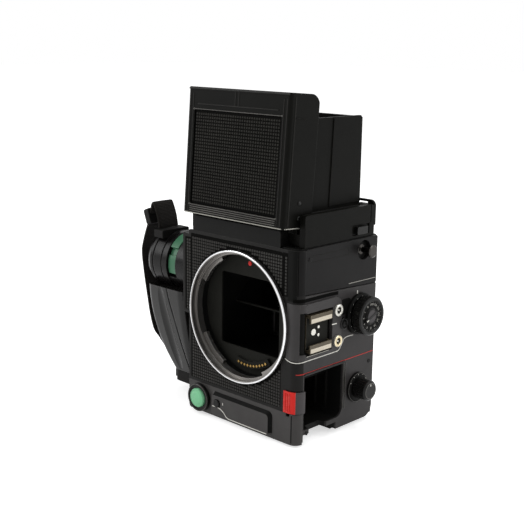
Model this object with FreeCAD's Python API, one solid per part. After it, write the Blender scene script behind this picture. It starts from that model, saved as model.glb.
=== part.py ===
import FreeCAD, Part
import math
import os

# Medium format single lens reflex camera body with a folding waist level finder and a
# swivelling hand grip, shown without lens, film magazine and battery. Millimetres.
# Origin: centre of the lens mount on the front face of its ring.
# +X is to the right seen from the front, +Y runs from the lens side to the film side, +Z is up.

V = FreeCAD.Vector

# Fits
slide_gap = 0.3          # between parts that move past each other
run_gap = 0.05           # radial play of a pin in its bore
seat_gap = 0.02          # between flat parts that seat on each other across a joint

# Lens mount
ring_radius = 39.0
register_radius = 37.4
register_depth = 3.5
throat_radius = 36.2
lug_radius = 34.2
lug_angle = 36.0
lug_count = 4
lug_first = 46.0
lug_thickness = 2.4
ring_depth = 8.0
ring_outer_round = 0.6
ring_inner_round = 0.4
baffle_radius = 36.2
baffle_front = 12.0
baffle_thickness = 1.2
baffle_window_w = 46.8
baffle_window_h = 44.0
index_dot_radius = 1.3
index_dot_z = 30.0
contact_count = 10
contact_pitch_deg = 4.7
contact_first_deg = -12.0
contact_circle = 30.6
contact_radius = 0.75
contact_block_depth = 2.0

# Main body
body_left = -42.0
body_right = 45.0
body_top = 46.0
body_bottom = -64.8
body_depth = 63.6
front_face = 2.5
front_skin = 1.2
corner_radius = 4.0
cavity_half_width = 30.0
cavity_half_height = 30.4
bulge_width = 5.2
bulge_top = 42.7
bulge_bottom = -6.15
bulge_depth = 52.0
ridge_left = -38.4
ridge_right = 32.0
ridge_height = 8.5
ridge_depth = 5.1

# Front skins
cover_right = 41.0
cover_bottom = -47.8
cover_top = 45.4
leather_right = 34.0
leather_border = 1.9
leather_thickness = 0.4
chin_bottom = -66.0
tongue_left = -22.0
tongue_right = 28.0
tongue_top = -50.2
tongue_height = 14.6
tongue_rise = 1.8

# Film side
rear_thickness = 4.0
gate_half = 28.0
rear_inset = 1.0
magazine_step = 1.6
magazine_half_width = 36.0
hook_width = 7.0
hook_reach = 3.2
hook_height = 3.0
hook_spacing = 54.0
drive_dog_radius = 3.6
drive_dog_x = -33.5
drive_dog_below = 7.0

# Mirror and light flaps
mirror_hinge_y = 62.0
mirror_hinge_z = 33.2
mirror_length = 47.0
mirror_half_width = 27.0
mirror_glass = 1.2
mirror_plate = 1.2
mirror_angle = 45.0
flap_hinge_y = 65.0
flap_hinge_z = 28.9
flap_thickness = 0.8
flap_half_width = 28.9
flap_pin_radius = 0.5
mirror_pin_radius = 0.8
pin_seat = 2.0

# Focusing screen
screen_floor = 36.2
screen_thickness = 2.0
screen_half_width = 28.5
screen_front = 14.4
screen_length = 48.0
screen_frame_width = 2.6
screen_frame_height = 4.4

# Battery bay and its latch
bay_front = 8.5
bay_rear = 42.0
bay_top = -26.0
bay_step_z = -34.0
bay_step_x = 33.5
bay_inner_x = 10.0
bay_corner = 5.0
bay_floor_top = -58.0
bay_floor_under = -60.6
bay_lip_x = 34.0
bay_notch_start = 15.0
bay_notch_end = 27.0
bay_notch_x = 41.5
bay_rib_count = 5
bay_rib_pitch = 6.0
bay_rib_width = 1.2
bay_rib_rise = 1.2
latch_top = -34.4
latch_height = 12.6
latch_left = 37.2
latch_cap_end = -50.0
latch_thickness = 0.8
latch_travel = 4.0
latch_side_reach = 2.6

# Side covers
side_skin = 1.2
side_front = 7.8
side_low_corner = 7.0
upper_cover_front_z = 20.6
upper_cover_rear_z = 17.7
lug_y = 58.0
lug_z = 38.7
lug_recess_radius = 5.8
lug_recess_depth = 2.6
lug_post_radius = 1.5
lug_head_radius = 3.7
lug_reach = 8.0
control_top = 15.6
control_bottom = -16.2
control_rear = 38.0
control_rise = 1.3
shoe_front = 10.4
shoe_length = 18.2
shoe_centre_z = -2.0
shoe_slot_width = 18.6
shoe_mouth_width = 12.5
shoe_slot_height = 2.2
shoe_plate = 1.0
shoe_lip = 1.2
shoe_rail = 1.6
shoe_pocket_margin = 1.4
socket_y = 34.4
socket_upper_z = 7.7
socket_lower_z = -10.4
socket_radius = 3.4
socket_bore = 2.3
socket_height = 2.4
socket_pin_radius = 0.6
lever_y = 40.2
lever_z = -1.5
lever_radius = 1.5
lever_travel = 2.0
lever_stem = 1.0
lever_depth = 2.0
lever_height = 2.6
dial_y = 55.0
dial_z = 1.6
dial_radius = 11.3
dial_collar_radius = 12.2
dial_collar_height = 2.6
dial_height = 7.2
dial_groove_count = 30
mode_y = 55.2
mode_z = -43.5
mode_radius = 6.0
mode_collar_radius = 9.0
mode_collar_height = 1.8
mode_height = 8.6
mode_groove_count = 18

# Front buttons
release_x = -31.9
release_z = -57.1
release_radius = 5.9
release_collar_radius = 8.6
release_collar_step = 0.9
release_collar_rise = 2.6
release_rise = 1.4
release_travel = 2.5
lockup_x = -15.6
lockup_z = -56.6
lockup_radius = 2.4
lockup_rise = 1.0
lockup_travel = 1.5
button_guide = 3.0

# Underside
base_thickness = 1.2
base_margin = 3.0
base_front_margin = 6.0
tripod_y = 31.0
tripod_x = -14.0
tripod_radius = 4.75
tripod_flange = 9.5
tripod_depth = 9.0
foot_radius = 3.2
foot_height = 1.4
foot_inset = 7.0
screw_radius = 1.2

# Finder frame
finder_left = -44.2
finder_right = 45.2
finder_front = 9.4
finder_length = 59.6
finder_low_height = 6.5
finder_height = 18.0
finder_wall = 4.0
finder_side_front = 7.6
finder_rear_bar = 1.6
finder_rim_rise = 2.2
finder_rim_round = 3.5
finder_rim_slot = 1.3
finder_seam = 5.0
finder_window_half = 29.0
finder_window_front = 15.0
finder_window_rear = 61.0
finder_ear_inner = 34.9
finder_ear_outer = 37.3
finder_lift = 0.3
catch_front = 50.8
catch_length = 9.2
catch_height = 4.4
catch_recess = 0.8
catch_stem = 4.0
catch_depth = 2.4
catch_travel = 3.0

# Finder lid
lid_lean = 4.2
lid_foot_y = -4.4
lid_foot_z = 57.2
lid_half_width = 39.8
lid_length = 72.0
lid_depth = 23.1
lid_wall = 2.0
lid_border = 5.6
lid_side_border = 6.0
lid_band = 12.7
lid_recess = 3.0
lid_corner = 2.2
lid_shoulder = 7.0
lid_pin_radius = 1.2
lid_pin_back = 11.8
lid_pin_up = 2.6

# Hood walls
wall_thickness = 1.4
wall_pin_x = 36.1
wall_top = 114.5
wall_front_low = 12.8
wall_front_high = 21.6
wall_rear = 63.4
wall_seam_low = 36.1
wall_seam_high = 38.6
wall_seam_step = 0.6
wall_pin_radius = 0.7
wall_knuckle = 1.3
wall_knuckle_start = 5.0
right_wall_pin_z = 62.2
left_wall_pin_z = 59.2
rear_wall_pin_z = 55.8
rear_wall_half_width = 34.2
rear_wall_y = 65.4
rear_wall_top = 113.6

# Magnifier
lens_radius = 15.5
lens_bulge = 0.9
lens_edge = 1.6
magnifier_half_width = 24.0
magnifier_length = 36.0
magnifier_pivot_up = 54.0
magnifier_pivot_back = 7.3
magnifier_thickness = 2.4
magnifier_pin_radius = 0.9

# Grip
grip_y = 27.0
grip_z = 18.0
grip_base_radius = 13.0
grip_base_thickness = 3.0
grip_shaft_radius = 4.0
grip_shaft_length = 30.0
hub_radius = 18.2
lever_ring_width = 6.8
lever_ring_outer = 17.4
lever_ring_inner = 14.8
lever_ring_start = 103.0
lever_ring_end = 198.0
lever_step_low = 160.0
lever_step_high = 144.0
lever_step_in = 0.9
lever_pad_out = 1.2
lever_turn = 6.0
drum_radius = 19.0
drum_end = -89.0
drum_inner = -69.5
drum_round = 4.0
drum_groove = 0.9
drum_groove_1 = -74.8
drum_groove_2 = -82.8
handle_foot_z = -52.6
handle_inner_top = -55.0
handle_inner_foot = -53.0
handle_outer_top = -88.5
handle_outer_foot = -74.4
handle_outer_bend = 2.5
handle_front_top = 8.0
handle_front_foot = 17.6
handle_front_bend = 1.5
handle_section_count = 12
handle_rear_top = 45.0
handle_rear_foot = 40.0
handle_corner = 4.5
handle_valley_radius = 7.0
handle_valley_place = 0.38
handle_seam_radius = 0.6
handle_cap = 7.6
handle_cap_inset = 0.4
strap_width = 16.0
strap_thickness = 2.0
strap_clamp_wall = 0.6
strap_clamp_height = 5.8
strap_clamp_y = 31.5
buckle_tilt = -20.8

# Places that follow from the sizes above
skin_back = front_face + front_skin
body_rear = skin_back + body_depth
rear_face = body_rear + rear_thickness
baffle_back = baffle_front + baffle_thickness
bulge_left = body_left - bulge_width
side_face = body_right + side_skin
side_rear = rear_face - rear_inset
control_face = side_face + control_rise
base_bottom = body_bottom - base_thickness
finder_floor = body_top + finder_lift
finder_rear = finder_front + finder_length
finder_low = finder_floor + finder_low_height
finder_top = body_top + finder_height
ridge_top = body_top + ridge_height
ridge_back = skin_back + ridge_depth
drive_dog_z = -magazine_half_width - drive_dog_below
lean = math.radians(lid_lean)


def box(x0, x1, y0, y1, z0, z1):
    """A block between two corners."""
    return Part.makeBox(x1 - x0, y1 - y0, z1 - z0, V(x0, y0, z0))


def round_bar(axis, place, radius, low, high):
    """A cylinder along axis x, y or z through place, the other two coordinates in order."""
    a, b = place
    if axis == "x":
        return Part.makeCylinder(radius, high - low, V(low, a, b), V(1, 0, 0))
    if axis == "y":
        return Part.makeCylinder(radius, high - low, V(a, low, b), V(0, 1, 0))
    return Part.makeCylinder(radius, high - low, V(a, b, low), V(0, 0, 1))


def corner_wire(points, lift):
    """A closed wire through (u, v, radius) corners, rounded where the radius is not zero."""
    count = len(points)
    starts, ends, mids = [], [], []
    for i in range(count):
        u, v, r = points[i]
        here = V(u, v, 0)
        before = V(points[i - 1][0], points[i - 1][1], 0) - here
        after = V(points[(i + 1) % count][0], points[(i + 1) % count][1], 0) - here
        before.normalize()
        after.normalize()
        if r <= 0:
            starts.append(here)
            ends.append(here)
            mids.append(None)
            continue
        half = math.acos(max(-1.0, min(1.0, before.dot(after)))) / 2
        reach = r / math.tan(half)
        bisector = before + after
        bisector.normalize()
        centre = here + bisector * (r / math.sin(half))
        starts.append(here + before * reach)
        ends.append(here + after * reach)
        mids.append(centre - bisector * r)
    edges = []
    for i in range(count):
        if mids[i] is not None:
            edges.append(Part.Arc(lift(starts[i]), lift(mids[i]), lift(ends[i])).toShape())
        following = starts[(i + 1) % count]
        if (following - ends[i]).Length > 1e-6:
            edges.append(Part.LineSegment(lift(ends[i]), lift(following)).toShape())
    return Part.Wire(edges)


def plate(axis, points, low, high):
    """Extrude a rounded outline along an axis; outline points hold the other two coordinates."""
    lifts = {"x": lambda p: V(low, p.x, p.y), "y": lambda p: V(p.x, low, p.y), "z": lambda p: V(p.x, p.y, low)}
    ways = {"x": V(high - low, 0, 0), "y": V(0, high - low, 0), "z": V(0, 0, high - low)}
    wire = corner_wire([p if len(p) == 3 else (p[0], p[1], 0) for p in points], lifts[axis])
    return Part.Face(wire).extrude(ways[axis])


def rounded_box(axis, x0, x1, y0, y1, z0, z1, radius):
    """A block whose four edges along one axis are rounded."""
    if axis == "x":
        return plate("x", [(y0, z0, radius), (y1, z0, radius), (y1, z1, radius), (y0, z1, radius)], x0, x1)
    if axis == "y":
        return plate("y", [(x0, z0, radius), (x1, z0, radius), (x1, z1, radius), (x0, z1, radius)], y0, y1)
    return plate("z", [(x0, y0, radius), (x1, y0, radius), (x1, y1, radius), (x0, y1, radius)], z0, z1)


def turned_x(profile, y, z):
    """Revolve an (x, radius) profile about the line parallel to X through y and z."""
    points = [V(x, y + r, z) for x, r in profile]
    points.append(points[0])
    return Part.Face(Part.makePolygon(points)).revolve(V(0, y, z), V(1, 0, 0), 360)


def turned_y(profile, x, z):
    """Revolve a (y, radius) profile about the line parallel to Y through x and z."""
    points = [V(x + r, y, z) for y, r in profile]
    points.append(points[0])
    return Part.Face(Part.makePolygon(points)).revolve(V(x, 0, z), V(0, 1, 0), 360)


def grouped(shapes):
    """Several separate solids in one node."""
    return Part.makeCompound(shapes)


def leaned(shape):
    """Tilt a piece drawn upright in the lid's own frame to the lid's rest place."""
    shape.rotate(V(0, 0, 0), V(1, 0, 0), -lid_lean)
    shape.translate(V(0, lid_foot_y, lid_foot_z))
    return shape


def leaned_point(back, up):
    """Rest place of a point given in the lid's own frame."""
    y = lid_foot_y + back * math.cos(lean) + up * math.sin(lean)
    z = lid_foot_z - back * math.sin(lean) + up * math.cos(lean)
    return y, z


lid_pin_y, lid_pin_z = leaned_point(lid_pin_back, lid_pin_up)


def ring_sector(axis_y, axis_z, inner, outer, x0, x1, start, end):
    """Part of a ring about an axis along X, from one angle to another, counted from +Y towards +Z."""
    def at(radius, angle):
        a = math.radians(angle)
        return V(x0, axis_y + radius * math.cos(a), axis_z + radius * math.sin(a))
    middle = (start + end) / 2
    edges = [
        Part.Arc(at(outer, start), at(outer, middle), at(outer, end)).toShape(),
        Part.LineSegment(at(outer, end), at(inner, end)).toShape(),
        Part.Arc(at(inner, end), at(inner, middle), at(inner, start)).toShape(),
        Part.LineSegment(at(inner, start), at(outer, start)).toShape(),
    ]
    return Part.Face(Part.Wire(edges)).extrude(V(x1 - x0, 0, 0))


# Lens mount

def bayonet_ring():
    """Thin bright rim round a deep stepped bore, with the bayonet's lugs at the back."""
    ring = round_bar("y", (0, 0), ring_radius, 0, ring_depth)
    ring = ring.cut(round_bar("y", (0, 0), register_radius, -1, register_depth))
    for radius, fillet in ((ring_radius, ring_outer_round), (register_radius, ring_inner_round)):
        ring = ring.makeFillet(fillet, [e for e in ring.Edges if front_circle(e, radius)])
    ring = ring.cut(round_bar("y", (0, 0), throat_radius, -1, ring_depth + 1))
    inner = round_bar("y", (0, 0), lug_radius, -1, ring_depth + 1)
    for i in range(lug_count):
        lug = round_bar("y", (0, 0), throat_radius + 0.5, ring_depth - lug_thickness, ring_depth).cut(inner)
        wedge = sector_wedge(lug_first + i * 360 / lug_count, lug_angle)
        ring = ring.fuse(lug.common(wedge))
    return ring.removeSplitter()


def front_circle(edge, radius):
    """Whether an edge is the circle of this radius on the ring's front face."""
    flat = abs(edge.BoundBox.YMin) < 1e-6 and abs(edge.BoundBox.YMax) < 1e-6
    return flat and abs(edge.BoundBox.XMax - radius) < 1e-3


def sector_wedge(middle, span):
    """A pie slice about the lens axis that covers the mount's depth."""
    reach = 2 * ring_radius
    a0 = math.radians(middle - span / 2)
    a1 = math.radians(middle + span / 2)
    corners = [V(0, -1, 0), V(reach * math.cos(a0), -1, reach * math.sin(a0)),
               V(reach * math.cos(a1), -1, reach * math.sin(a1)), V(0, -1, 0)]
    return Part.Face(Part.makePolygon(corners)).extrude(V(0, ring_depth + 3, 0))


def throat_baffle():
    disc = round_bar("y", (0, 0), baffle_radius, baffle_front, baffle_back)
    half_w = baffle_window_w / 2
    half_h = baffle_window_h / 2
    window = rounded_box("y", -half_w, half_w, baffle_front - 1, baffle_back + 1, -half_h, half_h, 1.5)
    return disc.cut(window)


def index_dot():
    return round_bar("y", (0, index_dot_z), index_dot_radius, baffle_front - 0.4, baffle_front)


def contact_angle(i):
    return math.radians(-90 + contact_first_deg + i * contact_pitch_deg)


def contact_block():
    """Curved moulding that carries the lens contacts, seated on the baffle."""
    first = math.degrees(contact_angle(-1))
    last = math.degrees(contact_angle(contact_count))

    def at(radius, angle):
        a = math.radians(angle)
        return V(radius * math.cos(a), baffle_front - contact_block_depth, radius * math.sin(a))
    inner = contact_circle - 2.2
    outer = contact_circle + 1.8
    middle = (first + last) / 2
    edges = [
        Part.Arc(at(outer, first), at(outer, middle), at(outer, last)).toShape(),
        Part.LineSegment(at(outer, last), at(inner, last)).toShape(),
        Part.Arc(at(inner, last), at(inner, middle), at(inner, first)).toShape(),
        Part.LineSegment(at(inner, first), at(outer, first)).toShape(),
    ]
    return Part.Face(Part.Wire(edges)).extrude(V(0, contact_block_depth, 0))


def contact_pins():
    """Gold contact studs in an arc on the contact block."""
    front = baffle_front - contact_block_depth
    pins = []
    for i in range(contact_count):
        a = contact_angle(i)
        place = (contact_circle * math.cos(a), contact_circle * math.sin(a))
        pins.append(round_bar("y", place, contact_radius, front - 0.7, front))
    return grouped(pins)


# Body

def bay_cut(grow):
    """The battery's space, with a step over it that clears the mirror box, and the relief below its floor."""
    x1 = side_face + 1
    tall = box(bay_step_x, x1, bay_front - grow, bay_rear + grow, bay_step_z - 1, bay_top + grow)
    low = plate("x", [(bay_front - grow, bay_floor_top, 1.0), (bay_rear + grow, bay_floor_top, bay_corner),
                      (bay_rear + grow, bay_step_z, 0), (bay_front - grow, bay_step_z, 0)], bay_inner_x, x1)
    relief = box(bay_lip_x, x1, bay_front - grow, bay_rear - bay_corner, base_bottom - 1, bay_floor_under)
    notch = plate("z", [(bay_notch_x, bay_notch_start, 2), (x1, bay_notch_start - 2, 0), (x1, bay_notch_end + 2, 0),
                        (bay_notch_x, bay_notch_end, 2)], bay_floor_under - 1, bay_floor_top + 1)
    return tall.fuse([low, relief, notch])


def main_housing():
    shape = plate("z", [(body_left, skin_back, corner_radius), (body_right, skin_back, corner_radius),
                        (body_right, body_rear, 2), (body_left, body_rear, 2)], body_bottom, body_top)
    bulge = plate("z", [(body_left + 5, skin_back), (bulge_left, skin_back, 1.0),
                        (bulge_left, skin_back + bulge_depth - bulge_width, 3),
                        (body_left, skin_back + bulge_depth, 3), (body_left + 5, skin_back + bulge_depth)],
                  bulge_bottom, bulge_top)
    ridge = plate("x", [(skin_back, body_top - 1), (ridge_back, body_top - 1), (ridge_back, ridge_top, 1),
                        (skin_back, ridge_top, 1)], ridge_left, ridge_right)
    shape = shape.fuse([bulge, ridge]).removeSplitter()
    shape = shape.cut(round_bar("y", (0, 0), ring_radius, skin_back - 1, ring_depth))
    shape = shape.cut(round_bar("y", (0, 0), baffle_radius, skin_back - 1, baffle_back))
    shape = shape.cut(box(-cavity_half_width, cavity_half_width, baffle_back - 0.01, body_rear + 1,
                          -cavity_half_height, screen_floor + 0.01))
    seat = screen_half_width + screen_frame_width
    shape = shape.cut(box(-seat, seat, baffle_back, body_rear - 1, screen_floor, body_top + 1))
    shape = shape.cut(bay_cut(0)).fuse(bay_ribs())
    shape = shape.cut(round_bar("y", (release_x, release_z), release_radius + slide_gap, skin_back - 1,
                                release_back() + release_travel + seat_gap))
    shape = shape.cut(round_bar("y", (lockup_x, lockup_z), lockup_radius + slide_gap, skin_back - 1,
                                lockup_back() + lockup_travel + seat_gap))
    shape = shape.cut(lug_recess(body_right, 1))
    shape = shape.cut(lug_recess(body_left, -1))
    shape = shape.cut(latch_slot())
    shape = shape.cut(shoe_pocket())
    shape = shape.cut(lever_slot())
    shape = shape.cut(round_bar("z", (tripod_x, tripod_y), tripod_flange, body_bottom - 1, body_bottom + 2))
    shape = shape.cut(round_bar("z", (tripod_x, tripod_y), tripod_radius + 2, body_bottom - 1,
                                base_bottom + tripod_depth + 0.01))
    shape = shape.cut(round_bar("y", (drive_dog_x, drive_dog_z), drive_dog_radius + slide_gap, body_rear - 6,
                                body_rear + 1))
    seat = cavity_half_width + pin_seat + run_gap
    shape = shape.cut(round_bar("x", (mirror_hinge_y, mirror_hinge_z), mirror_pin_radius + run_gap, -seat, seat))
    for way in (1, -1):
        place = (flap_hinge_y, way * flap_hinge_z)
        shape = shape.cut(round_bar("x", place, flap_pin_radius + run_gap, -seat, seat))
    return shape.removeSplitter()


def lug_recess(x, way):
    """Round dish that a strap lug stands in."""
    low, high = sorted((x + way * 2, x - way * (lug_recess_depth - side_skin)))
    return round_bar("x", (lug_y, lug_z), lug_recess_radius, low, high)


def front_cover():
    """Front skin with its ear over the grip mounting and a hole for the lens ring."""
    outline = [(body_left, cover_bottom, 1), (cover_right, cover_bottom, 0), (cover_right, cover_top, 1),
               (body_left, cover_top, 1), (body_left, bulge_top, 0), (bulge_left, bulge_top, 1.5),
               (bulge_left, bulge_bottom, 2.4), (body_left, bulge_bottom, 0)]
    skin = plate("y", outline, front_face + leather_thickness, skin_back)
    rim = plate("y", outline, front_face, front_face + leather_thickness).cut(leather_outline(0))
    skin = skin.fuse(rim).removeSplitter()
    skin = skin.cut(round_bar("y", (0, 0), ring_radius, 0, skin_back + 1))
    skin = skin.fuse(corner_column(cover_bottom, cover_top)).removeSplitter()
    return skin.cut(latch_slot())


def leather_outline(shrink):
    b = leather_border + shrink
    outline = [(body_left + b, cover_bottom + b, 1), (leather_right - shrink, cover_bottom + b, 1),
               (leather_right - shrink, cover_top - b, 1), (body_left + b, cover_top - b, 0),
               (body_left + b, bulge_top - b, 0), (bulge_left + b, bulge_top - b, 0.8),
               (bulge_left + b, bulge_bottom + b, 1.2), (body_left + b, bulge_bottom + b, 0)]
    return plate("y", outline, front_face - 0.01 + shrink, front_face + leather_thickness)


def front_leatherette():
    """Grained inlay in the front skin."""
    inlay = leather_outline(0.01)
    return inlay.cut(round_bar("y", (0, 0), ring_radius, 0, skin_back + 1))


def name_plate():
    """Bare strip on the ridge above the lens mount."""
    return rounded_box("y", ridge_left, ridge_right, front_face, skin_back, cover_top, ridge_top, 0.8)


def chin_cover():
    """Lower front skin with its raised, bevelled tongue."""
    skin = plate("y", [(body_left, chin_bottom, 2), (cover_right, chin_bottom, 0.5), (cover_right, cover_bottom, 0),
                       (body_left, cover_bottom, 0)], front_face, skin_back)
    tongue_bottom = tongue_top - tongue_height
    wide = corner_wire([(tongue_left, tongue_bottom, 1), (tongue_right, tongue_bottom, 1),
                        (tongue_right, tongue_top, 3), (tongue_left, tongue_top, 3)], lambda p: V(p.x, front_face, p.y))
    low = tongue_bottom + tongue_rise / 2
    slim = corner_wire([(tongue_left + tongue_rise, low, 1), (tongue_right - tongue_rise, low, 1),
                        (tongue_right - tongue_rise, tongue_top - tongue_rise, 2),
                        (tongue_left + tongue_rise, tongue_top - tongue_rise, 2)],
                       lambda p: V(p.x, front_face - tongue_rise, p.y))
    skin = skin.fuse(Part.makeLoft([slim, wide], True, True))
    skin = skin.cut(round_bar("y", (release_x, release_z), release_collar_radius, -5, skin_back + 1))
    skin = skin.cut(round_bar("y", (lockup_x, lockup_z), lockup_radius + slide_gap, -5, skin_back + 1))
    skin = skin.fuse(corner_column(chin_bottom, cover_bottom)).removeSplitter()
    return skin.cut(latch_slot())


def corner_column(low, high):
    """Rounded front corner that runs from the front skins to the side covers."""
    centre_x = cover_right
    outer = corner_radius + front_skin

    def at(radius, angle):
        a = math.radians(angle)
        return V(centre_x + radius * math.cos(a), skin_back + corner_radius + radius * math.sin(a), low)
    edges = [
        Part.Arc(at(outer, -90), at(outer, -45), at(outer, 0)).toShape(),
        Part.LineSegment(at(outer, 0), at(corner_radius, 0)).toShape(),
        Part.Arc(at(corner_radius, 0), at(corner_radius, -45), at(corner_radius, -90)).toShape(),
        Part.LineSegment(at(corner_radius, -90), at(outer, -90)).toShape(),
    ]
    column = Part.Face(Part.Wire(edges)).extrude(V(0, 0, high - low))
    back = skin_back + corner_radius
    strip = box(cover_right + corner_radius, cover_right + outer, back, side_front, low, high)
    return column.fuse(strip) if side_front > back else column


# Film side

def rear_frame():
    """Film side plate with the film gate and the step that the magazine seats in."""
    frame = rounded_box("y", body_left, body_right, body_rear, rear_face, body_bottom, body_top, 2)
    frame = frame.cut(box(-gate_half, gate_half, body_rear - 1, rear_face + 1, -gate_half, gate_half))
    step = rounded_box("y", -magazine_half_width, magazine_half_width, rear_face - magazine_step, rear_face + 1,
                       -magazine_half_width, magazine_half_width, 3)
    frame = frame.cut(step)
    dog_hole = drive_dog_radius + slide_gap
    return frame.cut(round_bar("y", (drive_dog_x, drive_dog_z), dog_hole, body_rear - 1, rear_face + 1))


def light_seal():
    """Foam strip round the film gate that the magazine presses on."""
    outer = magazine_half_width - 2.5
    inner = outer - 2.0
    y0 = rear_face - magazine_step
    y1 = y0 + 1.0
    return box(-outer, outer, y0, y1, -outer, outer).cut(box(-inner, inner, y0 - 1, y1 + 1, -inner, inner))


def magazine_hooks():
    """Four hooks that the film magazine hangs and latches on."""
    hooks = []
    for x in (-hook_spacing / 2, hook_spacing / 2):
        for way in (-1, 1):
            root = way * (magazine_half_width + 1.2)
            tip = way * (magazine_half_width + 1.2 + hook_height)
            profile = [(rear_face, root), (rear_face + hook_reach, root), (rear_face + hook_reach, tip + way * 1.4),
                       (rear_face + hook_reach - 1.4, tip + way * 1.4), (rear_face + hook_reach - 1.4, tip),
                       (rear_face, tip)]
            hooks.append(plate("x", profile, x - hook_width / 2, x + hook_width / 2))
    return grouped(hooks)


def magazine_contacts():
    """Row of spring contacts for the magazine's electronics."""
    pins = []
    for i in range(6):
        place = (6 + i * 3.2, drive_dog_z)
        pins.append(round_bar("y", place, 0.9, rear_face, rear_face + 0.8))
    return grouped(pins)


def drive_dog():
    """Rotating coupler that winds the magazine."""
    shaft = round_bar("y", (drive_dog_x, drive_dog_z), drive_dog_radius, body_rear - 6 + seat_gap, rear_face + 1.6)
    slot = box(drive_dog_x - drive_dog_radius, drive_dog_x + drive_dog_radius, rear_face + 0.2, rear_face + 3,
               drive_dog_z - 0.8, drive_dog_z + 0.8)
    return shaft.cut(slot)


# Mirror mechanism

def mirror_frame_piece(low, high, half_width, start, end):
    """A slab in the mirror's plane: offsets below the hinge plane, and a span along the mirror."""
    slab = box(-half_width, half_width, mirror_hinge_y - end, mirror_hinge_y - start,
               mirror_hinge_z - high, mirror_hinge_z - low)
    slab.rotate(V(0, mirror_hinge_y, mirror_hinge_z), V(1, 0, 0), mirror_angle)
    return slab


def mirror_glass_sheet():
    return mirror_frame_piece(-mirror_glass, 0, mirror_half_width, 2.5, mirror_length)


def mirror_carrier():
    """Plate behind the mirror glass with its two hinge eyes and trunnions."""
    carrier = mirror_frame_piece(0, mirror_plate, mirror_half_width + 0.8, 2.0, mirror_length + 0.6)
    for way in (-1, 1):
        x0, x1 = sorted((way * (mirror_half_width - 4), way * (mirror_half_width + 0.8)))
        eye = round_bar("x", (mirror_hinge_y, mirror_hinge_z), 1.7, x0, x1)
        reach = sorted((way * (mirror_half_width - 4), way * (cavity_half_width + pin_seat)))
        trunnion = round_bar("x", (mirror_hinge_y, mirror_hinge_z), mirror_pin_radius, reach[0], reach[1])
        arm = box(x0, x1, mirror_hinge_y - 3, mirror_hinge_y, mirror_hinge_z - mirror_plate, mirror_hinge_z)
        arm.rotate(V(0, mirror_hinge_y, mirror_hinge_z), V(1, 0, 0), mirror_angle)
        carrier = carrier.fuse([eye, arm, trunnion])
    return carrier.removeSplitter()


def light_flap(way):
    """One of two doors that keep light off the film; way is 1 for the upper and -1 for the lower."""
    z_pin = way * flap_hinge_z
    z0, z1 = sorted((z_pin, way * 0.4))
    leaf = box(-flap_half_width, flap_half_width, flap_hinge_y - flap_thickness / 2, flap_hinge_y + flap_thickness / 2,
               z0, z1)
    eye = round_bar("x", (flap_hinge_y, z_pin), 0.9, -flap_half_width, flap_half_width)
    reach = cavity_half_width + pin_seat
    pin = round_bar("x", (flap_hinge_y, z_pin), flap_pin_radius, -reach, reach)
    return leaf.fuse([eye, pin]).removeSplitter()


# Focusing screen

def focusing_screen():
    return box(-screen_half_width, screen_half_width, screen_front, screen_front + screen_length,
               screen_floor + 1.2, screen_floor + 1.2 + screen_thickness)


def screen_frame():
    """Drop-in frame that holds the focusing screen."""
    w = screen_half_width + screen_frame_width
    y0 = baffle_back
    y1 = body_rear - 1
    frame = box(-w, w, y0, y1, screen_floor, screen_floor + screen_frame_height)
    hole = screen_half_width - 1.5
    frame = frame.cut(box(-hole, hole, screen_front + 1.5, screen_front + screen_length - 1.5, 0, body_top))
    return frame.cut(box(-screen_half_width, screen_half_width, screen_front, screen_front + screen_length,
                         screen_floor + 1.2, body_top))


# Side covers and controls

def upper_side_cover():
    """Upper side plate, left bare, with the strap lug's round cut."""
    z1 = body_top - 0.3
    skin = plate("x", [(side_front, upper_cover_front_z, 1), (side_rear, upper_cover_rear_z, 1),
                       (side_rear, z1, 1), (side_front, z1, 1)], body_right, side_face)
    return skin.cut(lug_recess(body_right, 1))


def lower_side_cover():
    """Side skin round the controls and the battery bay."""
    front_top = upper_cover_front_z - 0.6
    rear_top = upper_cover_rear_z - 0.6
    skin = plate("x", [(side_front, body_bottom, 0), (side_rear, body_bottom, side_low_corner),
                       (side_rear, rear_top, 0), (side_front, front_top, 0)], body_right, side_face)
    skin = skin.cut(bay_cut(0))
    skin = skin.cut(shoe_pocket())
    return skin.cut(lever_slot())


def shoe_span():
    half = shoe_slot_width / 2 + shoe_rail
    return shoe_centre_z - half, shoe_centre_z + half


def shoe_pocket():
    """Recess that the accessory shoe lies in, open towards the front."""
    low, high = shoe_span()
    margin = shoe_pocket_margin
    floor = body_right - 1.0
    return box(floor, control_face + 1, side_front - 3, shoe_front + shoe_length + margin, low - margin, high + margin)


def control_panel():
    """Raised panel round the shoe and the sockets."""
    panel = plate("x", [(side_front, control_bottom, 1.5), (control_rear, control_bottom, 5),
                        (control_rear, control_top, 6), (side_front, control_top, 1.5)], side_face, control_face)
    panel = panel.cut(shoe_pocket())
    for z in (socket_upper_z, socket_lower_z):
        panel = panel.cut(round_bar("x", (socket_y, z), socket_radius, side_face - 1, control_face + 1))
    return panel


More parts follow.
